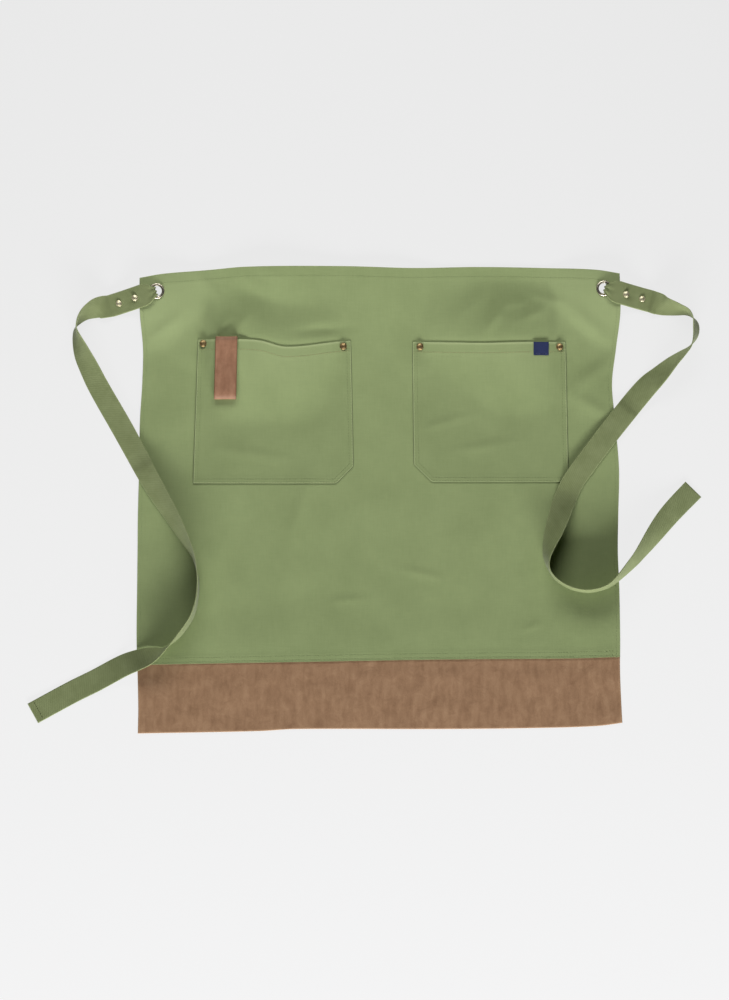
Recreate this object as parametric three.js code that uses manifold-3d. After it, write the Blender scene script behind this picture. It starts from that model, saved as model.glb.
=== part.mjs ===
// A waiter apron laid flat: canvas panel, leather hem band, two patch pockets, a leather loop,
// a cloth label, two eyelets and two webbing ties with their rivets.
// Millimetres, +Z up. The origin is under the middle of the laid apron, the tie ends included.
import * as THREE from 'three';
import { mergeVertices } from 'three/addons/utils/BufferGeometryUtils.js';
import Module from 'manifold-3d';

const wasm = await Module();
wasm.setup();

// Thickness of each cloth and leather, and the clearances between pieces
const CANVAS = 1.2;
const HEM_EXTRA = 0.7;
const LEATHER = 1.6;
const LABEL = 1;
const WEBBING = 1.5;
const GAP = 0.35;
const CLOTH_GAP = 0.6;
const TIE_GAP = 0.9;
const FLOOR_GAP = 0.2;
const EDGE_CLEARANCE = 6;

// Hems, laps and the steps of the cloth grids
const TOP_HEM = 15;
const SIDE_HEM = 7;
const HEM_STEP = 1.5;
const BAND_LAP = 12;
const LAP_FLAT = 8;
const LAP_RAMP = 40;
const PANEL_CELL = 23;
const POCKET_CELL = 15;
const BAND_GRID = { columns: 20, rows: 4 };

// Webbing ties
const WEBBING_WIDTH = 30;
const TIE_CELL = 9;
const TIE_SLOPE = 0.3;
const WIDTH_SAMPLES = 6;
const LOOP_END_HEIGHT = 3.4;

// Eyelets and rivets
const EYELET_RADII = { bore: 6.9, tube: 7.5, flange: 10.5, hole: 7.9 };
const EYELET_HEIGHTS = { back: 2.1, front: 6.7, bevel: 0.25 };
const EYELET_SIDES = 20;
const CORNER_LIFT = { height: 3.3, flat: 34, reach: 85 };
const POCKET_RIVET = { head: 4.75, dome: 2.3, cap: 4.2, capThick: 0.8, shank: 1.6, hole: 2, sides: 12 };
const TIE_RIVET = { head: 4.2, dome: 1.8, cap: 3.6, capThick: 0.6, shank: 1.5, hole: 1.9, sides: 12 };
const RIVET_LIFT = { height: 1.5, flat: 22, reach: 50 };
const TIE_RIVET_FOOT = 0.1;
const DRILL_LENGTH = 60;
const RING_SAMPLES = 8;

// Pockets
const POCKET_BULGE = 6.5;
const POCKET_SEAM = 4;
const BULGE_REACH = 50;
const BULGE_RISE = 150;
const CHAMFER = 24;

// Leather loop and label
const LOOP_WIDTH = 30;
const LABEL_BOX = { left: 227.5, right: 248.2, low: 195, high: 213 };
const LABEL_GRID = { columns: 3, rows: 6 };

// Turns rows of values into objects with named columns.
function table(columns, values) {
  const names = columns.split(' ');
  return values.map((row) => Object.fromEntries(names.map((name, i) => [name, row[i]])));
}

// Side edges of panel and band, from the hem up
const SIDES = table('y left right', [
  [-316, -307, 349],
  [-281, -306, 347],
  [-232, -308.5, 345],
  [-184, -308.5, 345],
  [-119, -307, 343.5],
  [-70, -307, 339.5],
  [-22, -307, 341],
  [43, -304.5, 343.5],
  [108, -303, 338],
  [157, -300, 334],
  [205, -299, 339.5],
  [254, -303, 345],
  [316, -303, 343.5],
]);

// Top edge of the canvas, seam between canvas and leather, and lower edge of the leather
const TOP_EDGE = table('x y', [
  [-305, 299.5],
  [-273, 305],
  [-209, 310.5],
  [-160, 314.5],
  [-30, 315.5],
  [60, 313],
  [150, 314.5],
  [245, 313],
  [310, 310.5],
  [346, 305],
]);
const SEAM_LINE = table('x y', [
  [-310, -222.5],
  [-144, -219.5],
  [102, -215.2],
  [272, -213.8],
  [350, -211.5],
]);
const HEM_LINE = table('x y', [
  [-310, -315.3],
  [-144, -312],
  [-95, -309.2],
  [99, -309.2],
  [229, -307.8],
  [310, -305],
  [350, -299.7],
]);

// Soft folds of the canvas: middle, heading of the ridge in degrees, half length, half width, height
const FOLDS = table('x y heading length width height', [
  [-222, 247, 100, 26, 15, 4],
  [-125, 281, -60, 24, 14, 2.5],
  [-87, 263, 0, 70, 26, 3],
  [284, 256, 70, 40, 22, 4],
  [136, 246, 80, 26, 16, 3.5],
  [313, 168, 95, 70, 20, 5.5],
  [-269, 202, 85, 60, 26, 4],
  [-87, -54, 80, 70, 35, 2.5],
  [115, -81, 100, 80, 40, 2.5],
  [318, -151, -20, 30, 16, 3],
  [24, 135, 90, 90, 30, 3],
]);

// Patch pockets: corners of mouth and foot, dip of the mouth, and the side with the cut corner
const POCKETS = table('name mouthLeft mouthRight mouthY footLeft footRight footY dip dipAt cutSide', [
  ['pocket_left', -224.8, -18.2, 216.4, -231.5, -14.2, 22, 9, 0.58, 'right'],
  ['pocket_right', 64.4, 271.4, 213.2, 66.7, 275.4, 24, 1.5, 0.45, 'left'],
]);
const DIP_WIDTH = 0.24;
const POCKET_RIVETS = table('pocket x y', [
  [0, -217.6, 211],
  [0, -28.6, 207.2],
  [1, 74.8, 206.8],
  [1, 263.1, 206.6],
]);

// Eyelets, and the heading in which each tie leaves its eyelet
const EYELETS = table('name x y headingX headingY', [
  ['eyelet_left', -279.9, 281.5, -0.9537, -0.3016],
  ['eyelet_right', 322.5, 285.1, 0.966, -0.259],
]);

// Doubled start of a tie, from the cut end under the apron, up through the eyelet and back out:
// distance out from the eyelet, height of the middle of the webbing, its width and thickness
const TIE_START = table('out up width thick', [
  [65, 1.75, 30, 1.5],
  [54, 1.75, 30, 1.5],
  [27, 1.75, 30, 1.5],
  [20, 1.2, 27, 1.5],
  [13, 1.1, 20, 1.5],
  [6.4, 1.1, 12, 1.5],
  [3.9, 1.4, 10.4, 1.8],
  [2.9, 2.5, 10.4, 2.2],
  [2.9, 6.4, 10.4, 2.2],
  [3.5, 7.9, 10.4, 2.2],
  [5.2, 8.5, 11.5, 2.2],
  [10, 8.4, 18, 1.8],
  [17, 7.6, 26, 1.5],
  [24, 7, 30, 1.5],
  [30, 6.7, 30, 1.5],
  [38, 5.8, 30, 1.5],
  [48, 4, 30, 1.5],
  [67, 3.6, 30, 1.5],
]);
const FRONT_PLY_ROW = 11;
const TIE_RIVETS_OUT = [31, 54];

// Free runs of the ties: middle line seen from above, and the turn of the webbing about it.
// 0 lies flat face up, 90 stands on edge, 180 lies flat face down.
const LEFT_RUN = table('x y turn', [
  [-349, 262.6, 10],
  [-363.8, 257.4, 40],
  [-376, 249.8, 62],
  [-384.8, 239.2, 84],
  [-388.8, 226.5, 106],
  [-381.4, 200.5, 138],
  [-371.3, 178.2, 152],
  [-356.4, 148.5, 162],
  [-324, 91.8, 166],
  [-288.5, 27, 156],
  [-262.2, -16.2, 138],
  [-243, -50, 120],
  [-229.8, -77, 102],
  [-224.1, -108, 90],
  [-225.9, -135, 84],
  [-233.5, -159, 78],
  [-249.8, -182.3, 78],
  [-268, -200, 92],
  [-288.2, -209, 126],
  [-327.4, -224.4, 155],
  [-361.8, -243, 165],
  [-396.2, -260.1, 172],
  [-447.7, -288.1, 180],
]);
const RIGHT_RUN = table('x y turn', [
  [388.1, 266, 10],
  [404.3, 260.6, 43],
  [421.2, 256.5, 60],
  [433.4, 253.1, 76],
  [441.5, 246, 94],
  [446, 236, 109],
  [445.6, 222, 107],
  [438.8, 207.5, 90],
  [427.3, 197.1, 75],
  [413.8, 185.6, 60],
  [397.6, 169.4, 50],
  [376.7, 148.5, 36],
  [338.2, 101.3, 20],
  [302, 54, 18],
  [277.4, 17.6, 24],
  [257.2, -35.1, 36],
  [249.3, -58, 58],
  [245.4, -75.6, 74],
  [248, -92, 80],
  [258.5, -107, 77],
  [277.4, -118.1, 76],
  [299, -122.5, 77],
  [320.6, -118.8, 77],
  [336.8, -109.4, 76],
  [360.5, -85.1, 62],
  [374, -68.5, 53],
  [408.4, -23, 24],
  [443.9, 14.4, 2],
]);

// Leather loop seen from its side, from the end inside the pocket, over the mouth, down the front,
// round the lower fold and up behind: height on the apron, and rise from the pocket's wall
const LOOP_LINE = table('y rise', [
  [196, -4.9],
  [208, -4.9],
  [216, -4.8],
  [218.8, -2.8],
  [219.4, 0.5],
  [218.2, 3],
  [213, 4.1],
  [206, 4.6],
  [199, 5.8],
  [190, 8],
  [178, 9.8],
  [162, 10.4],
  [148, 9.9],
  [141, 8.9],
  [137.2, 7.4],
  [136, 5.8],
  [137.4, 4.2],
  [142, 3.2],
  [152, 2.9],
  [170, 2.9],
  [196, 2.9],
]);
const LOOP_MIDDLE = table('y x', [
  [135, -187.8],
  [220, -185.5],
]);

// Colours and finishes
const canvas = new THREE.MeshStandardMaterial({ color: 0x7f9558, roughness: 0.9, metalness: 0 });
const webbing = new THREE.MeshStandardMaterial({ color: 0x7b8a55, roughness: 0.9, metalness: 0 });
const leather = new THREE.MeshStandardMaterial({ color: 0x8f7254, roughness: 0.7, metalness: 0 });
const loopLeather = new THREE.MeshStandardMaterial({ color: 0x9a7257, roughness: 0.65, metalness: 0 });
const navyCloth = new THREE.MeshStandardMaterial({ color: 0x27325a, roughness: 0.85, metalness: 0 });
const brass = new THREE.MeshStandardMaterial({ color: 0x92783f, roughness: 0.4, metalness: 0.9 });
const nickel = new THREE.MeshStandardMaterial({ color: 0xb4ad9c, roughness: 0.35, metalness: 0.9 });

const { lerp, clamp, smoothstep, degToRad } = THREE.MathUtils;

// Smooth line through the rows of a table, with value `to` read at place `from`.
function line(rows, from, to) {
  const slope = (i) => {
    const before = rows[Math.max(i - 1, 0)];
    const after = rows[Math.min(i + 1, rows.length - 1)];
    return (after[to] - before[to]) / (after[from] - before[from]);
  };
  return (place) => {
    const at = clamp(place, rows[0][from], rows.at(-1)[from]);
    const i = Math.max(rows.findIndex((row) => row[from] >= at), 1);
    const [a, b] = [rows[i - 1], rows[i]];
    const span = b[from] - a[from];
    const t = (at - a[from]) / span;
    const hold = (1 + 2 * t) * (1 - t) ** 2 * a[to] + t * t * (3 - 2 * t) * b[to];
    return hold + span * (t * (1 - t) ** 2 * slope(i - 1) - t * t * (1 - t) * slope(i));
  };
}

// Falls smoothly from 1 to 0 as the distance goes from near to far.
function fade(distance, near, far) {
  return 1 - smoothstep(distance, near, far);
}

// Fractions from 0 to 1 in about equal steps.
function fractions(count) {
  return Array.from({ length: count + 1 }, (_, i) => i / count);
}

// Turns a closed mesh right side out.
function outward(geometry) {
  const place = geometry.attributes.position;
  const [a, b, c] = [new THREE.Vector3(), new THREE.Vector3(), new THREE.Vector3()];
  const order = geometry.index.array;
  let volume = 0;
  for (let i = 0; i < order.length; i += 3) {
    a.fromBufferAttribute(place, order[i]);
    b.fromBufferAttribute(place, order[i + 1]);
    c.fromBufferAttribute(place, order[i + 2]);
    volume += a.dot(b.cross(c));
  }
  if (volume < 0) order.reverse();
  geometry.computeVertexNormals();
  return geometry;
}

function meshed(points, triangles) {
  const geometry = new THREE.BufferGeometry();
  geometry.setAttribute('position', new THREE.Float32BufferAttribute(points.flat(), 3));
  geometry.setIndex(new THREE.Uint32BufferAttribute(triangles, 1));
  return outward(geometry);
}

// Closed cloth wall on a grid: at(u, v) gives the place and the heights of its two faces.
function wall(us, vs, at) {
  const points = [];
  for (const v of vs) {
    for (const u of us) {
      const { x, y, low, high } = at(u, v);
      points.push([x, y, low], [x, y, high]);
    }
  }
  const index = (i, j, face) => 2 * (j * us.length + i) + face;
  const triangles = [];
  const quad = (a, b, c, d) => triangles.push(a, b, c, a, c, d);
  const [lastU, lastV] = [us.length - 1, vs.length - 1];
  for (let j = 0; j < lastV; j += 1) {
    for (let i = 0; i < lastU; i += 1) {
      quad(index(i, j, 1), index(i + 1, j, 1), index(i + 1, j + 1, 1), index(i, j + 1, 1));
      quad(index(i, j, 0), index(i, j + 1, 0), index(i + 1, j + 1, 0), index(i + 1, j, 0));
    }
    quad(index(0, j, 0), index(0, j, 1), index(0, j + 1, 1), index(0, j + 1, 0));
    quad(index(lastU, j, 0), index(lastU, j + 1, 0), index(lastU, j + 1, 1), index(lastU, j, 1));
  }
  for (let i = 0; i < lastU; i += 1) {
    quad(index(i, 0, 0), index(i + 1, 0, 0), index(i + 1, 0, 1), index(i, 0, 1));
    quad(index(i, lastV, 0), index(i, lastV, 1), index(i + 1, lastV, 1), index(i + 1, lastV, 0));
  }
  return meshed(points, triangles);
}

// Flat strip swept through sections, each with a middle, an across direction, a width and a thickness.
function strip(sections) {
  const points = [];
  sections.forEach((section, i) => {
    const before = sections[Math.max(i - 1, 0)].middle;
    const after = sections[Math.min(i + 1, sections.length - 1)].middle;
    const along = after.clone().sub(before).normalize();
    const face = along.cross(section.across).normalize();
    for (const [side, layer] of [[1, 1], [1, -1], [-1, -1], [-1, 1]]) {
      const corner = section.middle.clone();
      corner.addScaledVector(section.across, (side * section.width) / 2);
      corner.addScaledVector(face, (layer * section.thick) / 2);
      points.push(corner.toArray());
    }
  });
  const triangles = [];
  const quad = (a, b, c, d) => triangles.push(a, b, c, a, c, d);
  for (let base = 0; base < points.length - 4; base += 4) {
    for (let k = 0; k < 4; k += 1) {
      const next = (k + 1) % 4;
      quad(base + k, base + next, base + next + 4, base + k + 4);
    }
  }
  const end = points.length - 4;
  quad(3, 2, 1, 0);
  quad(end, end + 1, end + 2, end + 3);
  return meshed(points, triangles);
}

// Turned shape with +Z as its axis.
function turned(profile, sides) {
  const points = profile.map(([radius, height]) => new THREE.Vector2(radius, height));
  const geometry = new THREE.LatheGeometry(points, sides);
  geometry.rotateX(Math.PI / 2);
  return outward(geometry);
}

function asSolid(geometry) {
  const bare = geometry.clone();
  bare.deleteAttribute('normal');
  bare.deleteAttribute('uv');
  const merged = mergeVertices(bare);
  const vertProperties = Float32Array.from(merged.attributes.position.array);
  const triVerts = Uint32Array.from(merged.index.array);
  return new wasm.Manifold(new wasm.Mesh({ numProp: 3, vertProperties, triVerts }));
}

// Drills round holes straight down through a piece.
function drilled(geometry, holes) {
  const drill = ({ x, y, radius, sides }) => {
    const post = new THREE.CylinderGeometry(radius, radius, DRILL_LENGTH, sides);
    post.rotateX(Math.PI / 2);
    post.translate(x, y, 0);
    return asSolid(post);
  };
  const body = holes.reduce((rest, hole) => rest.subtract(drill(hole)), asSolid(geometry));
  const { vertProperties, triVerts } = body.getMesh();
  const result = new THREE.BufferGeometry();
  result.setAttribute('position', new THREE.BufferAttribute(vertProperties, 3));
  result.setIndex(new THREE.BufferAttribute(triVerts, 1));
  result.computeVertexNormals();
  return result;
}

const apron = new THREE.Group();

function add(name, geometry, material) {
  const mesh = new THREE.Mesh(geometry, material);
  mesh.name = name;
  apron.add(mesh);
  return mesh;
}

// Plan of the panel and the band
const leftEdge = line(SIDES, 'y', 'left');
const rightEdge = line(SIDES, 'y', 'right');
const topEdge = line(TOP_EDGE, 'x', 'y');
const seamLine = line(SEAM_LINE, 'x', 'y');
const hemLine = line(HEM_LINE, 'x', 'y');

function between(low, high, u, v) {
  const across = lerp(leftEdge(0), rightEdge(0), u);
  const y = lerp(low(across), high(across), v);
  return { x: lerp(leftEdge(y), rightEdge(y), u), y };
}

// Heights of the canvas panel. It is lifted by the folds, by the leather that it laps over,
// by the webbing under its top corners and by the backs of the pocket rivets.
const LIFTS = [
  ...EYELETS.map(({ x, y }) => ({ x, y, ...CORNER_LIFT })),
  ...POCKET_RIVETS.map(({ x, y }) => ({ x, y, ...RIVET_LIFT })),
];

function foldHeight(fold, x, y) {
  const heading = degToRad(fold.heading);
  const [dx, dy] = [x - fold.x, y - fold.y];
  const along = (dx * Math.cos(heading) + dy * Math.sin(heading)) / fold.length;
  const across = (dy * Math.cos(heading) - dx * Math.sin(heading)) / fold.width;
  return fold.height * Math.exp(-along * along - across * across);
}

function liftHeight(lift, x, y) {
  const distance = Math.hypot(x - lift.x, y - lift.y);
  return lift.height * fade(distance, lift.flat, lift.reach);
}

function panelUnder(x, y) {
  const folds = FOLDS.reduce((sum, fold) => sum + foldHeight(fold, x, y), 0);
  const aboveSeam = y - seamLine(x);
  const lap = (LEATHER + CLOTH_GAP) * fade(aboveSeam, BAND_LAP + LAP_FLAT, BAND_LAP + LAP_RAMP);
  return Math.max(folds, lap, ...LIFTS.map((lift) => liftHeight(lift, x, y)));
}

function panelTop(x, y) {
  const fromSide = Math.min(x - leftEdge(y), rightEdge(y) - x);
  const fromTop = topEdge(x) - y;
  const inSideHem = fade(fromSide, SIDE_HEM, SIDE_HEM + HEM_STEP);
  const inTopHem = fade(fromTop, TOP_HEM, TOP_HEM + HEM_STEP);
  return panelUnder(x, y) + CANVAS + HEM_EXTRA * Math.max(inSideHem, inTopHem);
}

function makePanel() {
  const width = rightEdge(0) - leftEdge(0);
  const height = topEdge(0) - seamLine(0);
  const inner = fractions(Math.round(width / PANEL_CELL)).slice(1, -1);
  const hems = [0, SIDE_HEM / width, (SIDE_HEM + HEM_STEP) / width];
  const us = [...hems, ...inner, ...hems.map((u) => 1 - u).reverse()];
  const topHem = [(TOP_HEM + HEM_STEP) / height, TOP_HEM / height, 0].map((v) => 1 - v);
  const vs = [...fractions(Math.round(height / PANEL_CELL)).slice(0, -1), ...topHem];
  const cloth = wall(us, vs, (u, v) => {
    const { x, y } = between(seamLine, topEdge, u, v);
    return { x, y, low: panelUnder(x, y), high: panelTop(x, y) };
  });
  const eyeletHoles = EYELETS.map(({ x, y }) => ({ x, y, radius: EYELET_RADII.hole, sides: EYELET_SIDES }));
  const { hole, sides } = POCKET_RIVET;
  const rivetHoles = POCKET_RIVETS.map(({ x, y }) => ({ x, y, radius: hole, sides }));
  add('panel', drilled(cloth, [...eyeletHoles, ...rivetHoles]), canvas);
}

// The leather lies flat on the table and runs up behind the canvas.
function makeBand() {
  const lapLine = (x) => seamLine(x) + BAND_LAP;
  const band = wall(fractions(BAND_GRID.columns), fractions(BAND_GRID.rows), (u, v) => {
    return { ...between(hemLine, lapLine, u, v), low: 0, high: LEATHER };
  });
  add('hem_band', band, leather);
}

// Plan of a patch pocket
function pocketSides(pocket, y) {
  const v = (y - pocket.footY) / (pocket.mouthY - pocket.footY);
  const left = lerp(pocket.footLeft, pocket.mouthLeft, v);
  const right = lerp(pocket.footRight, pocket.mouthRight, v);
  return { left, right };
}

function pocketFoot(pocket, x) {
  const fromCut = pocket.cutSide === 'left' ? x - pocket.footLeft : pocket.footRight - x;
  return pocket.footY + clamp(CHAMFER - fromCut, 0, CHAMFER);
}

function pocketMouth(pocket, x) {
  const u = (x - pocket.mouthLeft) / (pocket.mouthRight - pocket.mouthLeft);
  return pocket.mouthY - pocket.dip * Math.exp(-(((u - pocket.dipAt) / DIP_WIDTH) ** 2));
}

// Heights of a patch pocket: sewn down along three sides, gaping towards the middle of its mouth
function pocketUnder(pocket, x, y) {
  const { left, right } = pocketSides(pocket, y);
  const fromSide = Math.min(x - left, right - x) - POCKET_SEAM;
  const fromFoot = y - pocketFoot(pocket, x) - POCKET_SEAM;
  const gape = smoothstep(fromSide, 0, BULGE_REACH) * smoothstep(fromFoot, 0, BULGE_RISE);
  return panelTop(x, y) + CLOTH_GAP + POCKET_BULGE * gape;
}

function pocketTop(pocket, x, y) {
  const inHem = fade(pocketMouth(pocket, x) - y, TOP_HEM, TOP_HEM + HEM_STEP);
  return pocketUnder(pocket, x, y) + CANVAS + HEM_EXTRA * inHem;
}

function makePocket(pocket, number) {
  const width = pocket.footRight - pocket.footLeft;
  const height = pocket.mouthY - pocket.footY;
  const cut = pocket.cutSide === 'left' ? CHAMFER / width : 1 - CHAMFER / width;
  const us = [...fractions(Math.round(width / POCKET_CELL)), cut].sort((a, b) => a - b);
  const hem = [(TOP_HEM + HEM_STEP) / height, TOP_HEM / height, 0].map((v) => 1 - v);
  const vs = [...fractions(Math.round(height / POCKET_CELL)).slice(0, -2), ...hem];
  const cloth = wall(us, vs, (u, v) => {
    const nominal = lerp(pocket.footLeft, pocket.footRight, u);
    const level = lerp(pocketFoot(pocket, nominal), pocket.mouthY, v);
    const { left, right } = pocketSides(pocket, level);
    const x = lerp(left, right, u);
    const y = lerp(pocketFoot(pocket, nominal), pocketMouth(pocket, x), v);
    return { x, y, low: pocketUnder(pocket, x, y), high: pocketTop(pocket, x, y) };
  });
  const { hole, sides } = POCKET_RIVET;
  const own = POCKET_RIVETS.filter((rivet) => rivet.pocket === number);
  add(pocket.name, drilled(cloth, own.map(({ x, y }) => ({ x, y, radius: hole, sides }))), canvas);
}

// Rivet with a flat back cap whose top is at `back` and a domed head that sits at `seat`
function rivetProfile({ head, dome, cap, capThick, shank }, back, seat) {
  return [
    [0, back - capThick],
    [cap, back - capThick],
    [cap, back],
    [shank, back],
    [shank, seat],
    [head, seat],
    [head * 0.94, seat + dome * 0.45],
    [head * 0.6, seat + dome * 0.85],
    [0, seat + dome],
  ];
}

// Lowest and highest value of a height around a rivet
function around(height, x, y, radius) {
  const angles = fractions(RING_SAMPLES).map((turn) => turn * 2 * Math.PI);
  const ring = angles.map((angle) => height(x + radius * Math.cos(angle), y + radius * Math.sin(angle)));
  return { lowest: Math.min(...ring), highest: Math.max(...ring) };
}

function makePocketRivets() {
  POCKET_RIVETS.forEach(({ pocket, x, y }, i) => {
    const { head, cap, sides } = POCKET_RIVET;
    const back = around(panelUnder, x, y, cap).lowest - GAP;
    const front = (px, py) => pocketTop(POCKETS[pocket], px, py);
    const seat = around(front, x, y, head).highest + GAP;
    const shape = turned(rivetProfile(POCKET_RIVET, back, seat), sides);
    add(`pocket_rivet_${i + 1}`, shape, brass).position.set(x, y, 0);
  });
}

function makeEyelets() {
  const { bore, tube, flange } = EYELET_RADII;
  const { back, front, bevel } = EYELET_HEIGHTS;
  const backTop = CORNER_LIFT.height - GAP;
  const frontSeat = CORNER_LIFT.height + CANVAS + HEM_EXTRA + GAP;
  const profile = [
    [bore, back + bevel],
    [flange, back],
    [flange, backTop],
    [tube, backTop],
    [tube, frontSeat],
    [flange, frontSeat],
    [flange * 0.97, lerp(frontSeat, front, 0.65)],
    [lerp(bore, flange, 0.5), front],
    [bore + bevel, lerp(frontSeat, front, 0.75)],
    [bore, frontSeat],
    [bore, back + bevel],
  ];
  for (const { name, x, y } of EYELETS) {
    add(name, turned(profile, EYELET_SIDES), nickel).position.set(x, y, 0);
  }
}

// Height of what lies under a tie at a place, with its own clearance
function support(x, y) {
  const edge = EDGE_CLEARANCE;
  const inside = x > leftEdge(y) - edge && x < rightEdge(y) + edge;
  if (!inside || y > topEdge(x) + edge || y < hemLine(x) - edge) return FLOOR_GAP;
  if (y < seamLine(x) - edge) return LEATHER + GAP;
  const pocket = POCKETS.find((each) => {
    const { left, right } = pocketSides(each, y);
    return x > left - edge && x < right + edge && y > each.footY - edge && y < each.mouthY + edge;
  });
  return TIE_GAP + Math.max(panelTop(x, y), pocket ? pocketTop(pocket, x, y) : 0);
}

// Place at a distance out from an eyelet, on its tie's heading
function outFrom(eyelet, out) {
  return { x: eyelet.x + eyelet.headingX * out, y: eyelet.y + eyelet.headingY * out };
}

// Smooth place on a run between its rows
function runPoint(rows, at) {
  const i = Math.min(Math.floor(at), rows.length - 2);
  const t = at - i;
  const row = (k) => rows[clamp(k, 0, rows.length - 1)];
  const [a, b, c, d] = [row(i - 1), row(i), row(i + 1), row(i + 2)];
  const mix = (key) => {
    const bend = (2 * a[key] - 5 * b[key] + 4 * c[key] - d[key]) * t * t;
    const twist = (3 * (b[key] - c[key]) + d[key] - a[key]) * t * t * t;
    return b[key] + 0.5 * ((c[key] - a[key]) * t + bend + twist);
  };
  return { x: mix('x'), y: mix('y'), turn: degToRad(mix('turn')) };
}

// Lowest height at which the webbing, turned about its middle line, clears what is under it
function restHeight({ x, y, turn, sideX, sideY }) {
  const heights = fractions(WIDTH_SAMPLES).map((share) => {
    const offset = (share - 0.5) * WEBBING_WIDTH;
    const flat = offset * Math.cos(turn);
    return support(x + sideX * flat, y + sideY * flat) - offset * Math.sin(turn);
  });
  return Math.max(...heights) + (WEBBING / 2) * Math.abs(Math.cos(turn));
}

// A tie starts doubled through its eyelet and then runs free. `hand` is 1 where the edge on the
// right of its way turns up, and -1 where the left one does.
function makeTie(name, eyelet, rows, hand) {
  const side = new THREE.Vector3(eyelet.headingY * hand, -eyelet.headingX * hand, 0);
  const start = TIE_START.map(({ out, up, width, thick }) => {
    const { x, y } = outFrom(eyelet, out);
    return { middle: new THREE.Vector3(x, y, up), across: side, width, thick };
  });
  const places = rows.slice(1).flatMap((row, i) => {
    const steps = Math.ceil(Math.hypot(row.x - rows[i].x, row.y - rows[i].y) / TIE_CELL);
    return fractions(steps).slice(i === 0 ? 0 : 1).map((t) => runPoint(rows, i + t));
  });
  let travelled = 0;
  places.forEach((place, i) => {
    const before = places[Math.max(i - 1, 0)];
    const after = places[Math.min(i + 1, places.length - 1)];
    const along = new THREE.Vector2(after.x - before.x, after.y - before.y).normalize();
    travelled += Math.hypot(place.x - before.x, place.y - before.y);
    Object.assign(place, { travelled, sideX: along.y * hand, sideY: -along.x * hand });
  });
  const rests = places.map((place, i) => Math.max(restHeight(place), i === 0 ? LOOP_END_HEIGHT : 0));
  const run = places.map((place) => {
    const distance = (other) => Math.abs(other.travelled - place.travelled);
    const tents = places.map((other, j) => rests[j] - TIE_SLOPE * distance(other));
    const middle = new THREE.Vector3(place.x, place.y, Math.max(...tents));
    const flat = Math.cos(place.turn);
    const across = new THREE.Vector3(place.sideX * flat, place.sideY * flat, Math.sin(place.turn));
    return { middle, across, width: WEBBING_WIDTH, thick: WEBBING };
  });
  const { hole, sides } = TIE_RIVET;
  const holes = TIE_RIVETS_OUT.map((out) => ({ ...outFrom(eyelet, out), radius: hole, sides }));
  add(name, drilled(strip([...start, ...run]), holes), webbing);
}

function makeTieRivets() {
  const frontPly = TIE_START.slice(FRONT_PLY_ROW);
  const frontUp = line(frontPly, 'out', 'up');
  EYELETS.forEach((eyelet, e) => {
    TIE_RIVETS_OUT.forEach((out, k) => {
      const { head, capThick, sides } = TIE_RIVET;
      const seat = frontUp(out - head) + WEBBING / 2 + GAP;
      const profile = rivetProfile(TIE_RIVET, TIE_RIVET_FOOT + capThick, seat);
      const { x, y } = outFrom(eyelet, out);
      add(`tie_rivet_${2 * e + k + 1}`, turned(profile, sides), brass).position.set(x, y, 0);
    });
  });
}

function makeLoop() {
  const [pocket] = POCKETS;
  const middleX = line(LOOP_MIDDLE, 'y', 'x');
  const across = new THREE.Vector3(1, 0, 0);
  const sections = LOOP_LINE.map(({ y, rise }) => {
    const x = middleX(y);
    const onPocket = Math.min(y, pocketMouth(pocket, x));
    const wallMiddle = pocketUnder(pocket, x, onPocket) + (CANVAS + HEM_EXTRA) / 2;
    const middle = new THREE.Vector3(x, y, wallMiddle + rise);
    return { middle, across, width: LOOP_WIDTH, thick: LEATHER };
  });
  add('leather_loop', strip(sections), loopLeather);
}

function makeLabel() {
  const pocket = POCKETS[1];
  const { left, right, low, high } = LABEL_BOX;
  const tab = wall(fractions(LABEL_GRID.columns), fractions(LABEL_GRID.rows), (u, v) => {
    const [x, y] = [lerp(left, right, u), lerp(low, high, v)];
    const seat = pocketUnder(pocket, x, y) + CANVAS + HEM_EXTRA + GAP;
    return { x, y, low: seat, high: seat + LABEL };
  });
  add('label', tab, navyCloth);
}

makePanel();
makeBand();
POCKETS.forEach(makePocket);
makePocketRivets();
makeLoop();
makeLabel();
makeEyelets();
makeTie('tie_left', EYELETS[0], LEFT_RUN, 1);
makeTie('tie_right', EYELETS[1], RIGHT_RUN, -1);
makeTieRivets();

export default apron;
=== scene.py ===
# %% [markdown]
# # A waiter apron laid flat
# The apron is a square of green canvas with a leather band along its hem, two patch pockets, a
# leather loop, a cloth label and two webbing ties that come up through metal eyelets. The packed
# model fixes where each piece is and how large. This lesson dresses it: every soft piece gets a
# finer mesh with its hems, seams and folds, and every surface a finish made of nodes.

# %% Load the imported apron
import math

import bmesh
import bpy
import numpy as np
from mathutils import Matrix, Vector


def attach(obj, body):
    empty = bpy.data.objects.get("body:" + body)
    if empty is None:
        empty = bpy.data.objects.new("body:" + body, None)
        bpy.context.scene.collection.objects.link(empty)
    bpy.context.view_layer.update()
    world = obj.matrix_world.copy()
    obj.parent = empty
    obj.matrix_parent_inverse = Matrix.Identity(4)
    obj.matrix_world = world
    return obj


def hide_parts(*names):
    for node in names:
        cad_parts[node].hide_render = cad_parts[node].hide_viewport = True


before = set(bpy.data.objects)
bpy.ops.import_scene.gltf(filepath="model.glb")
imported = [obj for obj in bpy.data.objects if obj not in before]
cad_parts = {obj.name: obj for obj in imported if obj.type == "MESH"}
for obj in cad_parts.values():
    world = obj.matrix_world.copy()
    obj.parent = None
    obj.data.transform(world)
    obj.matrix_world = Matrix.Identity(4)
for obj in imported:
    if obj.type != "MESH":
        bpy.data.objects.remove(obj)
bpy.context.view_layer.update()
MM = 0.001

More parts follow.
